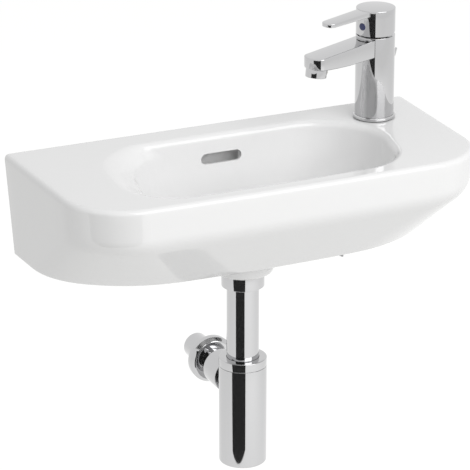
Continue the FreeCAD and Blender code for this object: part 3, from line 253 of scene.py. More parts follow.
def grown(corners, grow):
    """Rounded polygons moved outwards by grow: each corner moves along the sum of its two normals."""
    corners, grow = np.asarray(corners, float), np.asarray(grow, float)
    shape = np.broadcast_shapes(corners.shape[:-1], grow.shape)
    corners, grow = np.broadcast_to(corners, shape + (3,)), np.broadcast_to(grow, shape)
    point = corners[..., :2]
    back = point - np.roll(point, 1, -2)
    ahead = np.roll(point, -1, -2) - point
    back /= np.linalg.norm(back, axis=-1, keepdims=True)
    ahead /= np.linalg.norm(ahead, axis=-1, keepdims=True)
    out_back = np.stack([back[..., 1], -back[..., 0]], -1)
    out_ahead = np.stack([ahead[..., 1], -ahead[..., 0]], -1)
    lift = grow / (1 + (out_back * out_ahead).sum(-1))
    moved = point + (out_back + out_ahead) * lift[..., None]
    radius = np.maximum(corners[..., 2:] + grow[..., None], SMALLEST_RADIUS)
    return np.concatenate([moved, radius], -1)


def raised(plane, level):
    """Rings of x, y points given their height."""
    level = np.broadcast_to(np.asarray(level, float)[..., None], plane.shape[:-1])
    return np.concatenate([plane, level[..., None]], -1)


def skin(name, shells, sharp=32):
    """A mesh through shells of rings[level, step, xyz] in mm.

    Each ring is closed, and neighbouring rings are joined by quads. A shell given with loop set
    also joins its last ring to its first. Doubled points, such as poles, are merged first, then the
    faces are turned outwards; edges sharper than the given angle stay crisp.
    """
    places, quads, base = [], [], 0
    for rings, loop in shells:
        levels, steps = rings.shape[:2]
        index = base + np.arange(levels * steps).reshape(levels, steps)
        low = index if loop else index[:-1]
        high = np.roll(index, -1, 0) if loop else index[1:]
        quad = np.stack([low, np.roll(low, -1, 1), np.roll(high, -1, 1), high], -1)
        quads.append(quad.reshape(-1, 4))
        places.append(rings.reshape(-1, 3))
        base += levels * steps
    mesh = bpy.data.meshes.new(name)
    mesh.from_pydata((np.concatenate(places) / 1000).tolist(), [], np.concatenate(quads).tolist())
    work = bmesh.new()
    work.from_mesh(mesh)
    bmesh.ops.remove_doubles(work, verts=work.verts, dist=MERGE_DISTANCE)
    bmesh.ops.dissolve_degenerate(work, edges=work.edges, dist=SHORTEST_EDGE)
    bmesh.ops.recalc_face_normals(work, faces=work.faces)
    work.to_mesh(mesh)
    work.free()
    mesh.shade_smooth()
    mesh.set_sharp_from_angle(angle=math.radians(sharp))
    piece = bpy.data.objects.new(name, mesh)
    bpy.context.scene.collection.objects.link(piece)
    return piece


def axes(along, up=(0, 0, 1)):
    """Three perpendicular unit rows, the last along the given direction."""
    third = np.array(along, float) / np.linalg.norm(along)
    first = np.cross(up, third)
    first = first / np.linalg.norm(first) if np.linalg.norm(first) > 1e-6 else np.array([1.0, 0, 0])
    return np.array([first, np.cross(third, first), third])


def turning(profile, origin=(0, 0, 0), along=(0, 0, 1), steps=96, arc=5):
    """Shell of a lathe-turned solid: a closed profile of radius, height and rounding about an axis.

    The profile is a rounded polygon; each of its points runs round a circle of that radius.
    """
    outline = rounded(np.array(profile, float), arc, 0)
    angle = np.linspace(0, 2 * np.pi, steps, endpoint=False)
    radius, height = np.maximum(outline[:, 0], 0)[:, None], outline[:, 1][:, None]
    local = np.stack([radius * np.cos(angle), radius * np.sin(angle), height + 0 * angle], -1)
    return np.array(origin, float) + local @ axes(along), True


def slab(plan, top, under, edge, arc=6, edge_steps=5):
    """Shell of a flat bar: a rounded plan outline between an upper and an under surface.

    Round the edge, through a right angle, the outline is drawn in by edge * (1 - sin) and the height
    leaves its surface by edge * (1 - cos). The faces close onto the middle line of the plan.
    """
    angle = np.linspace(0, np.pi / 2, edge_steps)
    inset = edge * (1 - np.sin(angle))
    drop = edge * (1 - np.cos(angle))
    plan = np.array(plan, float)
    rings = []
    for side, height in ((1, under), (-1, top)):
        part = []
        for shift, rise in zip(inset, drop):
            line = rounded(grown(plan, -shift), arc, 3)
            part.append(np.column_stack([line, height(line[:, 0]) + side * rise]))
        middle = part[0].copy()
        middle[:, 1] = 0
        middle[:, 2] = height(middle[:, 0])
        part.insert(0, middle)
        rings.append(part if side > 0 else part[::-1])
    return np.array(rings[0] + rings[1]), False


def in_tap(shell):
    """A shell drawn in the tap's frame, X along the spout and Z up from the deck, put in place."""
    rings, loop = shell
    yaw = bpy.context.scene.basin_tap.yaw
    ahead = np.array([-math.cos(yaw), -math.sin(yaw), 0])
    across = np.array([math.sin(yaw), -math.cos(yaw), 0])
    return TAP + rings @ np.array([ahead, across, [0, 0, 1]]), loop


def settle(piece, body, slot, material, *nodes):
    """Gives a finished piece its material and its body, and hides the nodes it stands for. The slot is not
    used.
    """
    piece.data.materials.clear()
    piece.data.materials.append(bpy.data.materials[material])
    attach(piece, body)
    if nodes:
        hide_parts(*nodes)


def chromed(name, shells, stands_for, body="base"):
    """A chromed piece through shells of rings, in place of one node of the part."""
    settle(skin(name, shells), body, "chrome", "polished_chrome_plating", stands_for)


def millimetres(group):
    """The lengths of a property group in millimetres, by name."""
    props = group.bl_rna.properties
    return {p.identifier: getattr(group, p.identifier) * 1000 for p in props if p.unit == "LENGTH"}


# ---------------------------------------------------------------- materials

def node(tree, kind, settings=None, **links):
    """Adds a node, sets its fields and sockets, and links its inputs.

    A linked input is named with _ for a space, or by i and its number.
    """
    made = tree.nodes.new(kind)
    for key, value in (settings or {}).items():
        if isinstance(key, int) or key in made.inputs:
            made.inputs[key].default_value = value
        else:
            setattr(made, key, value)
    for key, source in links.items():
        numbered = key[0] == "i" and key[1:].isdigit()
        target = int(key[1:]) if numbered else key.replace("_", " ")
        tree.links.new(source, made.inputs[target])
    return made


def cleared(owner):
    """The node tree of a material or world, emptied."""
    owner.use_nodes = True
    owner.node_tree.nodes.clear()
    return owner.node_tree


def surface(name, **settings):
    """The tree of a new material, its one Principled shader and its object coordinates."""
    tree = cleared(bpy.data.materials.new(name))
    shader = node(tree, "ShaderNodeBsdfPrincipled", settings)
    node(tree, "ShaderNodeOutputMaterial", Surface=shader.outputs[0])
    place = node(tree, "ShaderNodeTexCoord").outputs["Object"]
    return tree, shader, place


def varied(tree, shader, place, paint, spread, grain, rough, bump, detail=2.0):
    """Colour, roughness and bump from one noise.

    grain is the pattern's size in mm, spread how much darker its dark parts are, rough the two
    roughness limits and bump its height in mm.
    """
    scale = {"Scale": 1000 / grain, "Detail": detail}
    noise = node(tree, "ShaderNodeTexNoise", scale, Vector=place).outputs["Fac"]
    dark = tuple(np.array(paint[:3]) * (1 - spread)) + (1,)
    mix = node(tree, "ShaderNodeMix", {"data_type": "RGBA"}, i0=noise)
    mix.inputs[6].default_value = dark
    mix.inputs[7].default_value = tuple(paint[:3]) + (1,)
    tree.links.new(mix.outputs[2], shader.inputs["Base Color"])
    ramp = node(tree, "ShaderNodeMapRange", {"To Min": rough[0], "To Max": rough[1]}, Value=noise)
    tree.links.new(ramp.outputs[0], shader.inputs["Roughness"])
    relief = node(tree, "ShaderNodeBump", {"Distance": bump / 1000, "Strength": 1.0}, Height=noise)
    tree.links.new(relief.outputs[0], shader.inputs["Normal"])


def make_materials():
    """All finishes, each named for the real material and how its surface was made."""
    finish = bpy.context.scene.basin_finishes

    # Vitreous china, dipped in glaze and fired: deep even white, mirror gloss, a faint orange peel
    # of about 14 mm waves where the glaze ran before it set.
    tree, shader, place = surface("vitreous_china_glaze", IOR=1.5)
    varied(tree, shader, place, finish.glaze, 0.012, 14, (0.05, 0.09), 0.006)

    # Brass plated with nickel and chromium, machine polished: a cool grey mirror. Polishing leaves
    # lines far too fine to show, drawn here as 3 mm clouds of slightly different gloss.
    tree, shader, place = surface("polished_chrome_plating", Metallic=1.0)
    varied(tree, shader, place, finish.chrome, 0.03, 3, (0.035, 0.06), 0.0004, 4)

    # Pressed EPDM rubber: dead black, matte, with a 1 mm mould grain.
    tree, shader, place = surface("moulded_epdm_rubber", IOR=1.5)
    varied(tree, shader, place, finish.rubber, 0.25, 1, (0.6, 0.75), 0.02)

    # Injection moulded acetal: slightly warm white, satin, 2 mm flow marks.
    tree, shader, place = surface("moulded_acetal", IOR=1.48)
    varied(tree, shader, place, finish.plastic, 0.05, 2, (0.32, 0.42), 0.01)

    # Zinc plated steel: grey, slightly cloudy passivated surface with 4 mm clouds.
    tree, shader, place = surface("zinc_plated_steel", Metallic=1.0)
    varied(tree, shader, place, finish.zinc, 0.12, 4, (0.28, 0.42), 0.004, 5)

    # Turned brass, left as cut: tool marks too fine to show, drawn as a 0.8 mm satin grain.
    tree, shader, place = surface("turned_brass", Metallic=1.0)
    varied(tree, shader, place, finish.brass, 0.08, 0.8, (0.22, 0.32), 0.006)

    # Glossy moulded ABS marker, coloured in the mass: a deep even blue with faint 1.5 mm clouds.
    tree, shader, place = surface("moulded_abs_marker", IOR=1.53)
    varied(tree, shader, place, finish.marker, 0.1, 1.5, (0.12, 0.2), 0.004)


# ---------------------------------------------------------------- ceramic

def outer_corners(depth_at, half_back, half_front, bow, along_side, along_front, share):
    """Corners of the outer wall at one level: back corner, two corner arcs and the bowed front.

    Each front corner is cut off by a chord that starts along_side before it and ends along_front
    after it. Two arcs share the chord: the first takes the given share, the second almost all the
    rest, and the arc of the bowed front stops 4 mm short of the second.
    """
    back_radius, chord_used, front_gap = 3, 0.96, 4
    cut = math.hypot(along_side, along_front)
    first_turn = math.atan2(along_front, along_side)
    bow_turn = math.atan2(bow, half_front - along_front)
    second_turn = math.pi / 2 - first_turn - bow_turn
    second_run = cut * (chord_used - share)
    front_run = half_front - along_front - second_run - front_gap
    left = [
        (-half_back, 0, back_radius),
        (-half_front, -(depth_at - along_side), cut * share / math.tan(first_turn / 2)),
        (-(half_front - along_front), -depth_at, second_run / math.tan(second_turn / 2)),
        (0, -(depth_at + bow), front_run / math.tan(bow_turn)),
    ]
    return np.array(left + [(-x, y, r) for x, y, r in left[2::-1]], float)


def wall_corners(level, size):
    """Corners of the outer wall at heights: straight bands above and below the crease.

    A band runs straight between two outlines: (1 - share) of one and share of the other. Near the
    crease they are joined along a quadratic curve: (1 + s)^2 / 4 of the outline above it,
    (1 - s^2) / 2 of the crease and (1 - s)^2 / 4 of the outline below, with s from -1 to 1.
    """
    half, crease, foot = size["width"] / 2, RIM - size["crease"], RIM - size["skirt"]
    bow, corner_radius = 4, 72
    cut, depth = corner_radius * (1 - math.tan(math.radians(22.5))), size["depth"] - bow
    at_rim = with_runs(outer_corners(depth, half, half - 5, bow, cut, cut, 0.48))
    at_crease = with_runs(outer_corners(depth - 3.5, half - 3.5, half - 8.5, bow, cut, cut, 0.48))
    at_foot = with_runs(outer_corners(154.5, half - 9, half - 12.5, 9, 60.5, 80, 0.45))

    def banded(z):
        """Outline on the straight bands at height z."""
        z = np.asarray(z, float)[..., None, None]
        upper = at_crease + (at_rim - at_crease) * (z - crease) / (RIM - crease)
        lower = at_crease + (at_foot - at_crease) * (crease - z) / (crease - foot)
        return np.where(z >= crease, upper, lower)

    step = np.clip((np.asarray(level, float) - crease) / CREASE_BLEND, -1, 1)[..., None, None]
    smooth = (banded(crease + CREASE_BLEND) * (1 + step) ** 2 / 4 + at_crease * (1 - step ** 2) / 2
              + banded(crease - CREASE_BLEND) * (1 - step) ** 2 / 4)
    return with_radii(np.where(np.abs(step) < 1, smooth, banded(level)))


def bowl_corners(depth, size):
    """Corners of the bowl at a share of its depth, 0 at the deck and 1 at the floor.

    From the lip the wall turns down along a quarter circle. At the left end it first slides inwards
    down a gentle slope, to a soft crease. Below, each corner follows a superellipse to the floor.
    """
    half, turn = size["bowl_length"] / 2, size["bowl_round"]
    depth = np.clip(np.asarray(depth, float), 0, 1)[..., None]
    drop = depth * size["bowl_depth"]
    lip = np.array([
        (60 - half, -28, 52), (7 - half, -68, 88), (-7 - half, -216, 64), (0, -217, 1400),
        (half - 25, -212, 70), (half + 1, -93, 76), (half - 46, -28, 80)], float)
    floor = np.array([
        (-38, -56, 22), (-62, -82, 24), (-66, -131, 30), (0, -133, 300),
        (66, -131, 30), (78, -84, 24), (54, -56, 22)], float)
    slide = np.array([(26, 0, 0), (34, 4, 0), (20, 4, 0)] + 4 * [(0, 0, 0)], float)
    rounding = np.minimum(drop, turn)
    wall = grown(lip, -np.sqrt(2 * turn * rounding - rounding ** 2))
    # The slide grows with the fall and stops at the soft crease: a soft minimum of fall and 1.
    fall, softness, offset = drop[..., None] / size["beach_drop"], 0.06, 1.03
    wall = wall + slide * ((fall + offset - np.sqrt((fall - 1) ** 2 + softness)) / 2)
    power = np.array([2.5, 2.6, 2.5, 2.5, 2.6, 2.4, 2.3])
    share = (1 - depth ** power) ** (1 / power)
    return floor + (wall - floor) * share[..., None]


def drawn_in(corners, inset):
    """The outline drawn in by inset, except along the wall, where the edge stays nearly square."""
    inset = np.asarray(inset, float)[..., None]
    back_pair, wall_share = [0, 6], 0.15
    moved = grown(corners, -inset)
    moved[..., back_pair, 1] = np.minimum(corners[..., back_pair, 1], -wall_share * inset)
    return moved


def reach_at(outline, way):
    """How far a closed outline lies from the drain at polar angles, exact on its straight runs.

    A spoke meets the edge that starts at s and runs along e at cross(s, e) / cross(spoke, e).
    """
    spoke = outline[:, :2] - DRAIN[:2]
    angle = np.arctan2(spoke[:, 1], spoke[:, 0])
    order = np.argsort(angle)
    start = spoke[order]
    edge = np.roll(start, -1, 0) - start
    index = np.searchsorted(angle[order], (way + np.pi) % (2 * np.pi) - np.pi, side="right") - 1
    start, edge = start[index], edge[index]
    across = start[..., 0] * edge[..., 1] - start[..., 1] * edge[..., 0]
    return across / (np.cos(way) * edge[..., 1] - np.sin(way) * edge[..., 0])


def held_in(ring, fence):
    """A ring whose points beyond the fence, seen from the drain, are drawn in onto the fence."""
    spoke = ring[:, :2] - DRAIN[:2]
    reach = np.linalg.norm(spoke, axis=1)
    allowed = reach_at(fence, np.arctan2(spoke[:, 1], spoke[:, 0]))
    held = ring.copy()
    held[:, :2] = DRAIN[:2] + spoke * (np.minimum(reach, allowed) / reach)[:, None]
    return held


def spread(first, second, steps):
    """Level rings between two outlines, nested about the drain so that none of them cross.

    Each point turns from its polar angle on the first outline to that on the second, and lies the
    same share of the way between the two outlines at that angle.
    """
    spokes = [ring[:, :2] - DRAIN[:2] for ring in (first, second)]
    angle = [np.arctan2(spoke[:, 1], spoke[:, 0]) for spoke in spokes]
    turn = (angle[1] - angle[0] + np.pi) % (2 * np.pi) - np.pi
    share = np.linspace(0, 1, steps + 2)[1:-1, None]
    way = angle[0] + share * turn
    near, far = reach_at(first, way), reach_at(second, way)
    reach = near + (far - near) * share
    plane = DRAIN[:2] + reach[..., None] * np.stack([np.cos(way), np.sin(way)], -1)
    return raised(plane, first[0, 2] + (second[0, 2] - first[0, 2]) * share[:, 0])


def ceramic_rings(size):
    """Rings of the whole basin, from the waste hole up the bowl, over the deck and down the skirt.

    They go on round the lower edge, up the skirt's inner wall, along the deck's underside and down
    the outside of the bowl to the boss, so the last ring meets the first.
    """
    arc, run = 8, 5
    quarter = np.linspace(0, np.pi / 2, 9)
    rim_round, bowl_round, inner = size["rim_round"], size["bowl_round"], size["wall"]
    floor_level, foot, under_deck = RIM - size["bowl_depth"], RIM - size["skirt"], RIM - size["deck"]
    crease, boss_face, seat = RIM - size["crease"], RIM - BOSS_DROP, floor_level - FLANGE_RECESS
    rings = []

    def outline(corners, level):
        """Rings of rounded corners at their levels."""
        return raised(rounded(corners, arc, run), level)

    def circle(radius, level):
        """A ring about the drain, each point on the spoke of its point on the bowl's floor."""
        spoke = floor_ring[:, :2] - DRAIN[:2]
        spoke = spoke / np.linalg.norm(spoke, axis=1, keepdims=True)
        return raised(DRAIN[:2] + spoke * radius, level)

    def blend(first, second, steps):
        """Rings at even shares of the straight way from the first ring to the second."""
        share = np.linspace(0, 1, steps + 2)[1:-1, None, None]
        rings.extend(first + (second - first) * share)

    def cone(level):
        """Radius of the boss, which widens by 16.5 mm over 40 mm upwards."""
        return 33.5 + 16.5 * (level - boss_face) / 40

    # Waste hole, recess for the waste's flange and bowl floor.
    floor_ring = outline(bowl_corners(1.0, size), floor_level)
    for radius, level in ((23.5, boss_face), (23, boss_face + 0.5), (23, seat - 0.6), (23.6, seat),
                          (32.2, seat), (32.8, seat + 0.3), (33, seat + 1), (33, floor_level - 2),
                          (33.5, floor_level - 0.7), (34.8, floor_level)):
        rings.append(circle(radius, level))
    blend(rings[-1], floor_ring, 6)

    # Bowl wall up to its rounded lip, with levels closer together towards the floor and the lip.
    start = bowl_round / size["bowl_depth"]
    depth = np.concatenate([
        np.sin(np.linspace(np.pi / 2, math.asin(start), 60)), start * (1 - np.sin(quarter[1:]))])
    rings.extend(outline(bowl_corners(depth, size), RIM - size["bowl_depth"] * depth))

    # Deck and rim, whose edge is a quarter circle.
    rim_ring = outline(drawn_in(wall_corners(RIM, size), rim_round), RIM)
    rings.extend(spread(rings[-1], rim_ring, 10))
    levels = RIM - rim_round * (1 - np.cos(quarter))
    rings.extend(outline(drawn_in(wall_corners(levels, size), rim_round * (1 - np.sin(quarter))), levels))

    # Outer wall, its lower edge with a quarter circle on each side, and its inner wall.
    levels = np.concatenate([
        np.linspace(RIM - rim_round, crease + CREASE_BLEND, 6)[1:],
        np.linspace(crease + CREASE_BLEND, crease - CREASE_BLEND, 12)[1:],
        np.linspace(crease - CREASE_BLEND, foot + FOOT_ROUND, 12)[1:]])
    rings.extend(outline(wall_corners(levels, size), levels))
    levels = foot + FOOT_ROUND * (1 - np.sin(quarter))
    inset = FOOT_ROUND * (1 - np.cos(quarter))
    rings.extend(outline(drawn_in(wall_corners(levels, size), inset), levels))
    levels, inset = levels[::-1], (inner - inset[::-1])[:, None]
    rings.extend(outline(grown(wall_corners(levels, size), -inset), levels))
    levels = np.linspace(foot + FOOT_ROUND, under_deck, 14)[1:]
    rings.extend(outline(grown(wall_corners(levels, size), -inner), levels))

    # Underside of the deck and outside of the bowl, held 0.3 mm off the skirt's inner wall.
    full = size["bowl_depth"] + inner
    depth = np.sin(np.linspace(math.asin(size["deck"] / full), np.pi / 2, 24))
    levels = RIM - full * depth
    under = outline(grown(bowl_corners(depth, size), inner), levels)
    limit = rounded(grown(wall_corners(levels, size), -inner - 0.3), arc, run)
    under = np.array([held_in(ring, fence) for ring, fence in zip(under, limit)])
    rings.extend(spread(rings[-1], under[0], 4))
    rings.extend(under)

    # Boss.
    flare = RIM - full
    ring = held_in(circle(cone(flare) + 4, flare), rings[-1])
    blend(rings[-1], ring, 4)
    rings.append(ring)
    for radius, level in ((cone(flare) + 1, flare - 1.2), (cone(flare - 4), flare - 4),
                          (cone(boss_face + 10), boss_face + 10), (cone(boss_face + 3), boss_face + 3),
                          (33.2, boss_face + 1), (31.8, boss_face), (24.5, boss_face)):
        rings.append(circle(radius, level))
    return np.array(rings)


def drilled(piece, cutters, sharp=52):
    """Takes the cutters' volumes out of the piece and removes them."""
    for cutter in cutters:
        change = piece.modifiers.new("hole", "BOOLEAN")
        change.operation, change.solver, change.object = "DIFFERENCE", "EXACT", cutter
    bpy.context.view_layer.update()
    shown = piece.evaluated_get(bpy.context.evaluated_depsgraph_get())
    mesh = bpy.data.meshes.new_from_object(shown)
    piece.modifiers.clear()
    piece.data = mesh
    mesh.shade_smooth()
    mesh.set_sharp_from_angle(angle=math.radians(sharp))
    for cutter in cutters:
        bpy.data.objects.remove(cutter)


class BASIN_OT_ceramic(bpy.types.Operator):
    """Glazed basin: bowl, deck, outer wall, boss and their holes"""

    bl_idname = "basin.ceramic"
    bl_label = "Ceramic basin"

    def execute(self, context):
        size = millimetres(context.scene.basin_ceramic)
        basin = skin("glazed_basin", [(ceramic_rings(size), True)])

        def drill(name, radius, low, high, origin, along=(0, 0, 1), steps=96):
            """A cylinder to cut out, from low to high along its axis."""
            profile = [(0, low, 0), (radius, low, 0), (radius, high, 0), (0, high, 0)]
            return skin(name, [turning(profile, origin, along, steps)])

        def block(name, rings):
            """A block to cut out, whose first and last ring are closed to a point."""
            return skin(name, [(np.array(rings), False)])

        bolt_spacing, bolt_radius = 280, 7
        cutters = [drill("bolt_hole_cutter", bolt_radius, -4, 14, (x, 0, 0), (0, -1, 0), 48)
                   for x in (-bolt_spacing / 2, bolt_spacing / 2)]
        cutters.append(drill("tap_hole_cutter", 17.5, -20, 5, TAP))

        # Overflow slot, 50 by 12.5 mm and almost half round at its ends, through the bowl's back wall.
        left, middle = -1.5, RIM - 28
        slot = rounded([(-25, -6.25, 6.2), (25, -6.25, 6.2), (25, 6.25, 6.2), (-25, 6.25, 6.2)], 10, 3)
        cutters.append(block("overflow_cutter", [
            np.column_stack([slot[:, 0] * k + left, np.full(len(slot), y), middle + slot[:, 1] * k])
            for k, y in ((0, -50), (1, -50), (1, -13), (0, -13))]))

        # Duct behind the slot, which thins the bowl's back wall so that the slot looks dark.
        plan, axis = rounded([(-24, -33.5, 2), (24, -33.5, 2), (24, -13, 2), (-24, -13, 2)], 3, 1), [0, -23]
        cutters.append(block("duct_cutter", [
            raised(np.array(axis) + (plan - axis) * k, RIM - drop)
            for k, drop in ((0, 62), (1, 62), (1, 19), (0, 19))]))

        # Side port of the boss, for the pop-up lever.
        port, outward = (28.71, -86.92, RIM - 134), (0.99007, 0.14058, 0)
        cutters.append(drill("port_cutter", 12.5, -8, 45, port, outward, 48))
        drilled(basin, cutters)
        settle(basin, "base", "glaze", "vitreous_china_glaze", "basin")
        return {"FINISHED"}


# ---------------------------------------------------------------- tap

class BASIN_OT_tap_body(bpy.types.Operator):
    """Chromed tap body with its spout, base ring and aerator"""

    bl_idname = "basin.tap_body"
    bl_label = "Tap body"

    def execute(self, context):
        size = millimetres(context.scene.basin_tap)
        radius, top = size["body_radius"], size["body_top"]
        barrel = turning([
            (0, 4.8, 0), (radius, 4.8, 0.3), (radius, top, 0.5), (19.7, top, 0.3), (19.7, 95.5, 0),
            (18.2, 95.5, 0), (18.2, 62, 0), (0, 62, 0)], steps=128)

        # Each side turns in through 50 degrees to the tip, which is one round nose. Its two arcs of 40
        # degrees almost meet on the middle line.
        reach, half, tip_radius, root = size["spout_reach"], size["spout_width"] / 2, 19, 16.6
        nose = tip_radius * math.tan(math.radians(20))
        side = reach - (half - nose) / math.tan(math.radians(50))
        plan = [(root, -half, 0.6), (side, -half, 7), (reach, -nose, tip_radius - 0.1),
                (reach, nose, tip_radius - 0.1), (side, half, 7), (root, half, 0.6)]

        def crown(x):
            """Height of the spout's top, which falls by 4.4 mm to the tip."""
            return 97.6 - 4.4 * x / reach

        def belly(x):
            """Height of its underside, which rises by 4 mm over the outer two fifths."""
            return 76.4 + 4.0 * np.clip((x - 0.6 * reach) / (0.4 * reach), 0, 1)

        spout = slab(plan, crown, belly, 1.2, 10)
        chromed("tap_body_with_spout", [in_tap(barrel), in_tap(spout)], "tap_body")
        ring = turning([
            (16.3, 1, 0), (24.2, 1, 0.3), (24.2, 3.6, 0.8), (23, 4.8, 0.6), (16.3, 4.8, 0)], steps=128)
        chromed("tap_base_ring", [in_tap(ring)], "base_ring")

        tilt = math.radians(8)
        housing = turning([
            (8, -11, 0.2), (12, -11, 0.6), (12, 0, 0.2), (9.5, 0, 0), (9.5, 6, 0), (8.6, 6, 0),
            (8.6, -9, 0), (8, -9, 0)], (reach - 12, 0, 80.6), (-math.sin(tilt), 0, math.cos(tilt)))
        chromed("aerator_ring", [in_tap(housing)], "aerator_housing")
        return {"FINISHED"}


class BASIN_OT_tap_handle(bpy.types.Operator):
    """Cap and lever of the tap, in one piece"""

    bl_idname = "basin.tap_handle"
    bl_label = "Tap handle"

    def execute(self, context):
        size = millimetres(context.scene.basin_tap)
        radius, foot, top = size["body_radius"], size["cap_foot"], size["cap_top"]
        angle = np.linspace(0, 2 * np.pi, 128, endpoint=False)
        quarter = np.linspace(0, np.pi / 2, 6)

        hollow, ceiling, edge = 20, 108, 0.8

        def rim(r):
            """Height of the foot at radius r.

            Behind the pivot it rises along a plane tipped by the lift angle of 14 degrees.
            """
            return np.maximum(foot, 99.89 - 0.2493 * r * np.cos(angle))

        flat = 0 * angle
        rows = [(0, flat + ceiling), (hollow, flat + ceiling), (hollow, rim(hollow)),
                (radius - 0.3, rim(radius - 0.3)), (radius, rim(radius) + 0.3)]
        rows += [(radius, rim(radius) * (1 - k) + (top - edge) * k) for k in (0.25, 0.5, 0.75)]
        rows += [(radius - edge * (1 - math.cos(q)), flat + top - edge * (1 - math.sin(q)))
                 for q in quarter]
        rows.append((0, flat + top))
        cap = np.array([np.column_stack([r * np.cos(angle), r * np.sin(angle), z]) for r, z in rows])

        reach, root = size["lever_reach"], 8
        plan = [(root, -10.2, 0.6), (reach, -9, 8), (reach, 9, 8), (root, 10.2, 0.6)]

        def crown(x):
            """Height of the lever's top, which falls by 2.4 mm towards the tip."""
            return top - 2.4 * x / (reach + 1)

        def belly(x):
            """Height of its underside: 4.2 mm lower at the tip, and 5.7 mm lower at the cap."""
            return crown(x) - 4.2 - 1.5 * np.clip((reach - x) / (reach - radius), 0, 1)

        lever = slab(plan, crown, belly, 0.7, 8)
        chromed("cap_with_lever", [in_tap((cap, False)), in_tap(lever)], "handle", "handle_set")
        marker = turning([(0, 18.6, 0), (4.3, 18.6, 0), (4.3, radius + 0.2, 0.2), (0, radius + 0.45, 0)],
                         (0, 0, 111.5), (1, 0, 0), 48)
        settle(skin("blue_marker", [in_tap(marker)]), "handle_set", "indicator", "moulded_abs_marker",
               "indicator_plug")
        return {"FINISHED"}


class BASIN_OT_lift_knob(bpy.types.Operator):
    """Knob on the pop-up waste's lift rod"""

    bl_idname = "basin.lift_knob"
    bl_label = "Lift knob"

    def execute(self, context):
        tilt = math.radians(20)
        up = np.array([-math.sin(tilt), 0, math.cos(tilt)])
        knob = turning([
            (2, 15.5, 0), (3, 15.5, 0.3), (4.3, 19, 0.8), (4.3, 28, 0.8), (0, 28, 0), (0, 25, 0),
            (2, 25, 0)], (-22.4, 0, 50), up, 48)
        chromed("lift_rod_knob", [in_tap(knob)], "pull_knob", "rod")
        return {"FINISHED"}


# ---------------------------------------------------------------- waste and trap

class BASIN_OT_trap(bpy.types.Operator):
    """Chromed waste nut, inlet tube, bottle and outlet with its rosette"""

    bl_idname = "basin.trap"
    bl_label = "Bottle trap"

    def execute(self, context):
        size = millimetres(context.scene.basin_trap)
        tube, bottle, pipe = size["tube_radius"], size["bottle_radius"], size["outlet_radius"]
        rosette = size["rosette_radius"]
        outlet = DRAIN + [0, 0, RIM - size["outlet_drop"]]

        def upright(profile):
            """Shell about the drain of a profile of radius, drop below the rim and rounding."""
            return turning([(r, RIM - drop, k) for r, drop, k in profile], DRAIN, steps=128)

        def level(profile, steps=96):
            """Shell about the outlet of a profile of radius, distance to the wall and rounding."""
            return turning(profile, outlet, (0, 1, 0), steps)

        chromed("waste_back_nut", [upright([
            (20.4, 148, 0), (24.6, 148, 0.3), (24.6, 163.5, 0.6), (tube, 163.5, 0.1), (tube, 154, 0),
            (20.4, 154, 0)])], "back_nut")
        chromed("inlet_tube_wall", [upright([
            (tube - 1.2, 142, 0), (tube, 142, 0), (tube, 346, 0.2), (tube - 1.2, 346, 0.2)])], "inlet_tube")
        chromed("trap_slip_nut", [upright([
            (tube + 0.3, 251, 0.3), (bottle, 251, 0.8), (bottle, 261, 0.3), (24, 261, 0), (24, 253.2, 0),
            (tube + 0.3, 253.2, 0)])], "slip_nut")
        shell = upright([
            (bottle, 261.3, 0.3), (bottle, 381, 3), (22.5, 381, 0.2), (22.5, 378.5, 0), (19, 378.5, 0),
            (19, 376, 0), (25.9, 376, 0), (25.9, 266, 0), (18.8, 266, 0), (18.8, 255.5, 0),
            (24, 255.5, 0), (24, 261.3, 0)])
        branch = level([(16.8, 22, 0), (19, 22, 0), (19, 42, 0.3), (16.8, 42, 0.3)])
        chromed("trap_bottle", [shell, branch], "bottle_body")
        chromed("outlet_slip_nut", [level([
            (19, 30, 0.3), (21.5, 30, 0.6), (21.5, 62, 0.8), (19.5, 64, 0.5), (pipe + 0.3, 64, 0),
            (pipe + 0.3, 50, 0), (19, 48, 0)])], "outlet_nut")
        chromed("outlet_pipe_wall", [level([
            (pipe - 1.2, 34, 0), (pipe, 34, 0.2), (pipe, 91, 0.1), (pipe - 0.4, 91.3, 0.1),
            (pipe - 0.4, 131, 0.3), (pipe - 1.2, 131, 0.3)])], "outlet_pipe")
        chromed("rosette_cover", [level([
            (pipe, 79, 0.2), (24, 79, 2.5), (rosette, 84, 2), (rosette, 91, 0.2), (rosette - 1.5, 91, 0.2),
            (rosette - 1.5, 84.6, 1.5), (23.1, 80.5, 1.5), (pipe, 80.5, 0)], 128)], "wall_rosette")
        return {"FINISHED"}


class BASIN_OT_waste(bpy.types.Operator):
    """Waste flange and pop-up plug in the bowl's floor"""

    bl_idname = "basin.waste"
    bl_label = "Pop-up waste"

    def execute(self, context):
        top, foot = RIM - 98.5, span("plug_cap")[0][2]
        flange = turning([
            (21, top, 0.5), (31.5, top, 1), (31.5, top - 2.5, 0.2), (22.7, top - 2.5, 0),
            (22.7, top - 8, 0), (18, top - 9, 0), (18, top - 28, 0), (15, top - 28, 0),
            (15, top - 8, 0.5)], DRAIN, steps=128)
        chromed("waste_flange_ring", [flange], "waste_flange")
        cap = turning([
            (0, foot, 0), (14.5, foot, 0.4), (17.4, foot + 2, 0.5), (17.8, foot + 3.2, 0.5),
            (16, foot + 4.6, 1), (10, foot + 5.8, 8), (0, foot + 6.4, 0)], DRAIN, steps=128)
        chromed("pop_up_plug_cap", [cap], "plug_cap", "plug")
        return {"FINISHED"}


NODE_MATERIALS = {
    "glaze": "vitreous_china_glaze",
    "chrome": "polished_chrome_plating",
    "rubber": "moulded_epdm_rubber",
    "inner_plastic": "moulded_acetal",
    "zinc_steel": "zinc_plated_steel",
    "brass": "turned_brass",
    "indicator": "moulded_abs_marker",
}


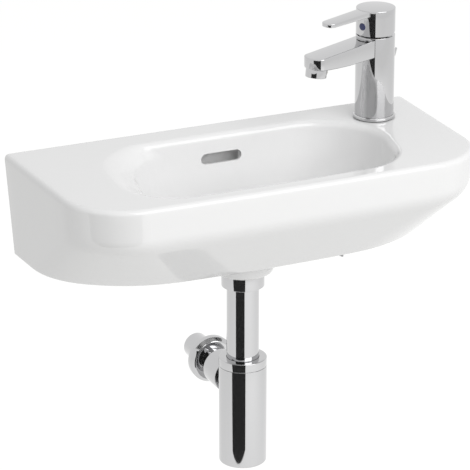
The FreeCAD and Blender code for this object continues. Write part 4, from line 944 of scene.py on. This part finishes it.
class BASIN_OT_fittings(bpy.types.Operator):
    """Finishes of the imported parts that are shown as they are"""

    bl_idname = "basin.fittings"
    bl_label = "Other fittings"

    def execute(self, context):
        slots = {entry["node"]: entry["material_slot"] for entry in frame["record"]["subparts"]}
        for name, part in frame["nodes"].items():
            part.data.materials.clear()
            part.data.materials.append(bpy.data.materials[NODE_MATERIALS[slots[name]]])
        return {"FINISHED"}


# ---------------------------------------------------------------- studio

def panel(name, centre, toward, width, height):
    """A flat stage panel facing a point."""
    rows = axes(np.array(toward, float) - centre)
    x, y = width / 2 * rows[0], height / 2 * rows[1]
    mesh = bpy.data.meshes.new(name)
    signs = ((-1, -1), (1, -1), (1, 1), (-1, 1))
    mesh.from_pydata([tuple((centre + a * x + b * y) / 1000) for a, b in signs], [], [(0, 1, 2, 3)])
    made = bpy.data.objects.new(name, mesh)
    bpy.context.scene.collection.objects.link(made)
    return made


def seen_by(tree, *rays):
    """1 for the given kinds of rays and 0 for all others, from Light Path."""
    path = node(tree, "ShaderNodeLightPath")
    seen = path.outputs[rays[0]]
    for ray in rays[1:]:
        either = node(tree, "ShaderNodeMath", {"operation": "MAXIMUM"}, i0=seen, i1=path.outputs[ray])
        seen = either.outputs[0]
    return seen


class BASIN_OT_studio(bpy.types.Operator):
    """Camera, pale floor, white surroundings, soft lamp and the dark flag that chrome reflects"""

    bl_idname = "basin.studio"
    bl_label = "Studio"

    def execute(self, context):
        scene, studio = context.scene, context.scene.basin_studio
        scene.view_settings.view_transform = "Standard"
        azimuth, elevation = studio.azimuth, studio.elevation
        target = Vector((-0.01395, -0.1, -0.03843))
        back = Vector((math.sin(azimuth) * math.cos(elevation), -math.cos(azimuth) * math.cos(elevation),
                       math.sin(elevation)))
        data = bpy.data.cameras.new("photo_camera")
        data.lens, data.sensor_width = studio.lens, 36
        data.clip_start, data.clip_end = 0.1, 50
        camera = bpy.data.objects.new("photo_camera", data)
        scene.collection.objects.link(camera)
        camera.location = target + back * studio.distance
        camera.rotation_mode = "QUATERNION"
        camera.rotation_quaternion = (-back).to_track_quat("-Z", "Y")
        scene.camera = camera

        # White surroundings for the camera, for gloss and for glass; all else gets the ambient level.
        scene.world = bpy.data.worlds.new("white_surroundings")
        tree = cleared(scene.world)
        seen = seen_by(tree, "Is Camera Ray", "Is Glossy Ray", "Is Transmission Ray")
        strength = node(tree, "ShaderNodeMapRange", {"To Min": studio.ambient, "To Max": 1.0}, Value=seen)
        light = node(tree, "ShaderNodeBackground", {"Color": (1, 1, 1, 1)}, Strength=strength.outputs[0])
        node(tree, "ShaderNodeOutputWorld", Surface=light.outputs[0])

        # Pale painted floor, lifted towards white where the camera or gloss sees it, so that the
        # object's shadow stays faint.
        floor_level, glow_strength = RIM - studio.floor_drop * 1000, 0.5
        floor = panel("studio_floor", np.array([0, -400, floor_level]), (0, -400, 1000), 9000, 9000)
        material = bpy.data.materials.new("painted_studio_floor")
        tree = cleared(material)
        seen = seen_by(tree, "Is Camera Ray", "Is Glossy Ray")
        paint = node(tree, "ShaderNodeBsdfDiffuse", {"Color": linear("#E6E6E5") + (1,)})
        lift = node(tree, "ShaderNodeMath", {"operation": "MULTIPLY", 1: glow_strength}, i0=seen)
        glow = node(tree, "ShaderNodeEmission", {"Color": (1, 1, 1, 1)}, Strength=lift.outputs[0])
        both = node(tree, "ShaderNodeAddShader", i0=paint.outputs[0], i1=glow.outputs[0])
        node(tree, "ShaderNodeOutputMaterial", Surface=both.outputs[0])
        floor.data.materials.append(material)

        # Large soft lamp, 2.5 m from the basin.
        lamp = bpy.data.lights.new("soft_key", "AREA")
        lamp.energy, lamp.shape, lamp.size, lamp.size_y = studio.key, "RECTANGLE", 2.2, 1.8
        key = bpy.data.objects.new("soft_key", lamp)
        scene.collection.objects.link(key)
        direction = Vector((0.24, -0.79, 0.54)).normalized()
        key.location = Vector((0, -0.1, 0)) + direction * 2.5
        key.rotation_mode = "QUATERNION"
        key.rotation_quaternion = direction.to_track_quat("Z", "Y")

        # Black felt flag, 19.5 degrees to the left of the camera, which shows only in reflections.
        felt_material = bpy.data.materials.new("black_felt_flag")
        felt_material.use_nodes = True
        felt = felt_material.node_tree.nodes["Principled BSDF"]
        felt.inputs["Base Color"].default_value = linear("#464646") + (1,)
        felt.inputs["Roughness"].default_value = 1.0
        felt.inputs["Specular IOR Level"].default_value = 0.0
        angle, away, level = azimuth - math.radians(19.5), 480, -265
        centre = np.array([away * math.sin(angle), -100 - away * math.cos(angle), level])
        flag = panel("black_flag", centre, (0, -100, level), 593, 710)
        flag.data.materials.append(felt_material)
        flag.visible_camera = flag.visible_diffuse = flag.visible_shadow = False
        return {"FINISHED"}


# ---------------------------------------------------------------- panel and registration

OPERATORS = (BASIN_OT_studio, BASIN_OT_fittings, BASIN_OT_ceramic, BASIN_OT_tap_body, BASIN_OT_tap_handle,
             BASIN_OT_lift_knob, BASIN_OT_waste, BASIN_OT_trap)


class BASIN_PT_sidebar(bpy.types.Panel):
    """Lists the pieces and their sizes"""

    bl_idname = "BASIN_PT_sidebar"
    bl_label = "Wall Hung Basin"
    bl_space_type = "VIEW_3D"
    bl_region_type = "UI"
    bl_category = "Basin"

    def draw(self, context):
        for operator in OPERATORS:
            self.layout.operator(operator.bl_idname)
        for name in GROUPS:
            group = getattr(context.scene, name)
            box = self.layout.box()
            box.label(text=name)
            for prop in group.bl_rna.properties:
                if prop.identifier not in ("name", "rna_type"):
                    box.prop(group, prop.identifier)


def register():
    for made in (*GROUPS.values(), *OPERATORS, BASIN_PT_sidebar):
        bpy.utils.register_class(made)
    for name, group in GROUPS.items():
        setattr(bpy.types.Scene, name, bpy.props.PointerProperty(type=group))


def unregister():
    for name in GROUPS:
        delattr(bpy.types.Scene, name)
    for made in reversed((*GROUPS.values(), *OPERATORS, BASIN_PT_sidebar)):
        bpy.utils.unregister_class(made)


def main():
    """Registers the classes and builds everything."""
    register()
    make_materials()
    for operator in OPERATORS:
        group, name = operator.bl_idname.split(".")
        getattr(getattr(bpy.ops, group), name)()


if __name__ == "__main__":
    main()
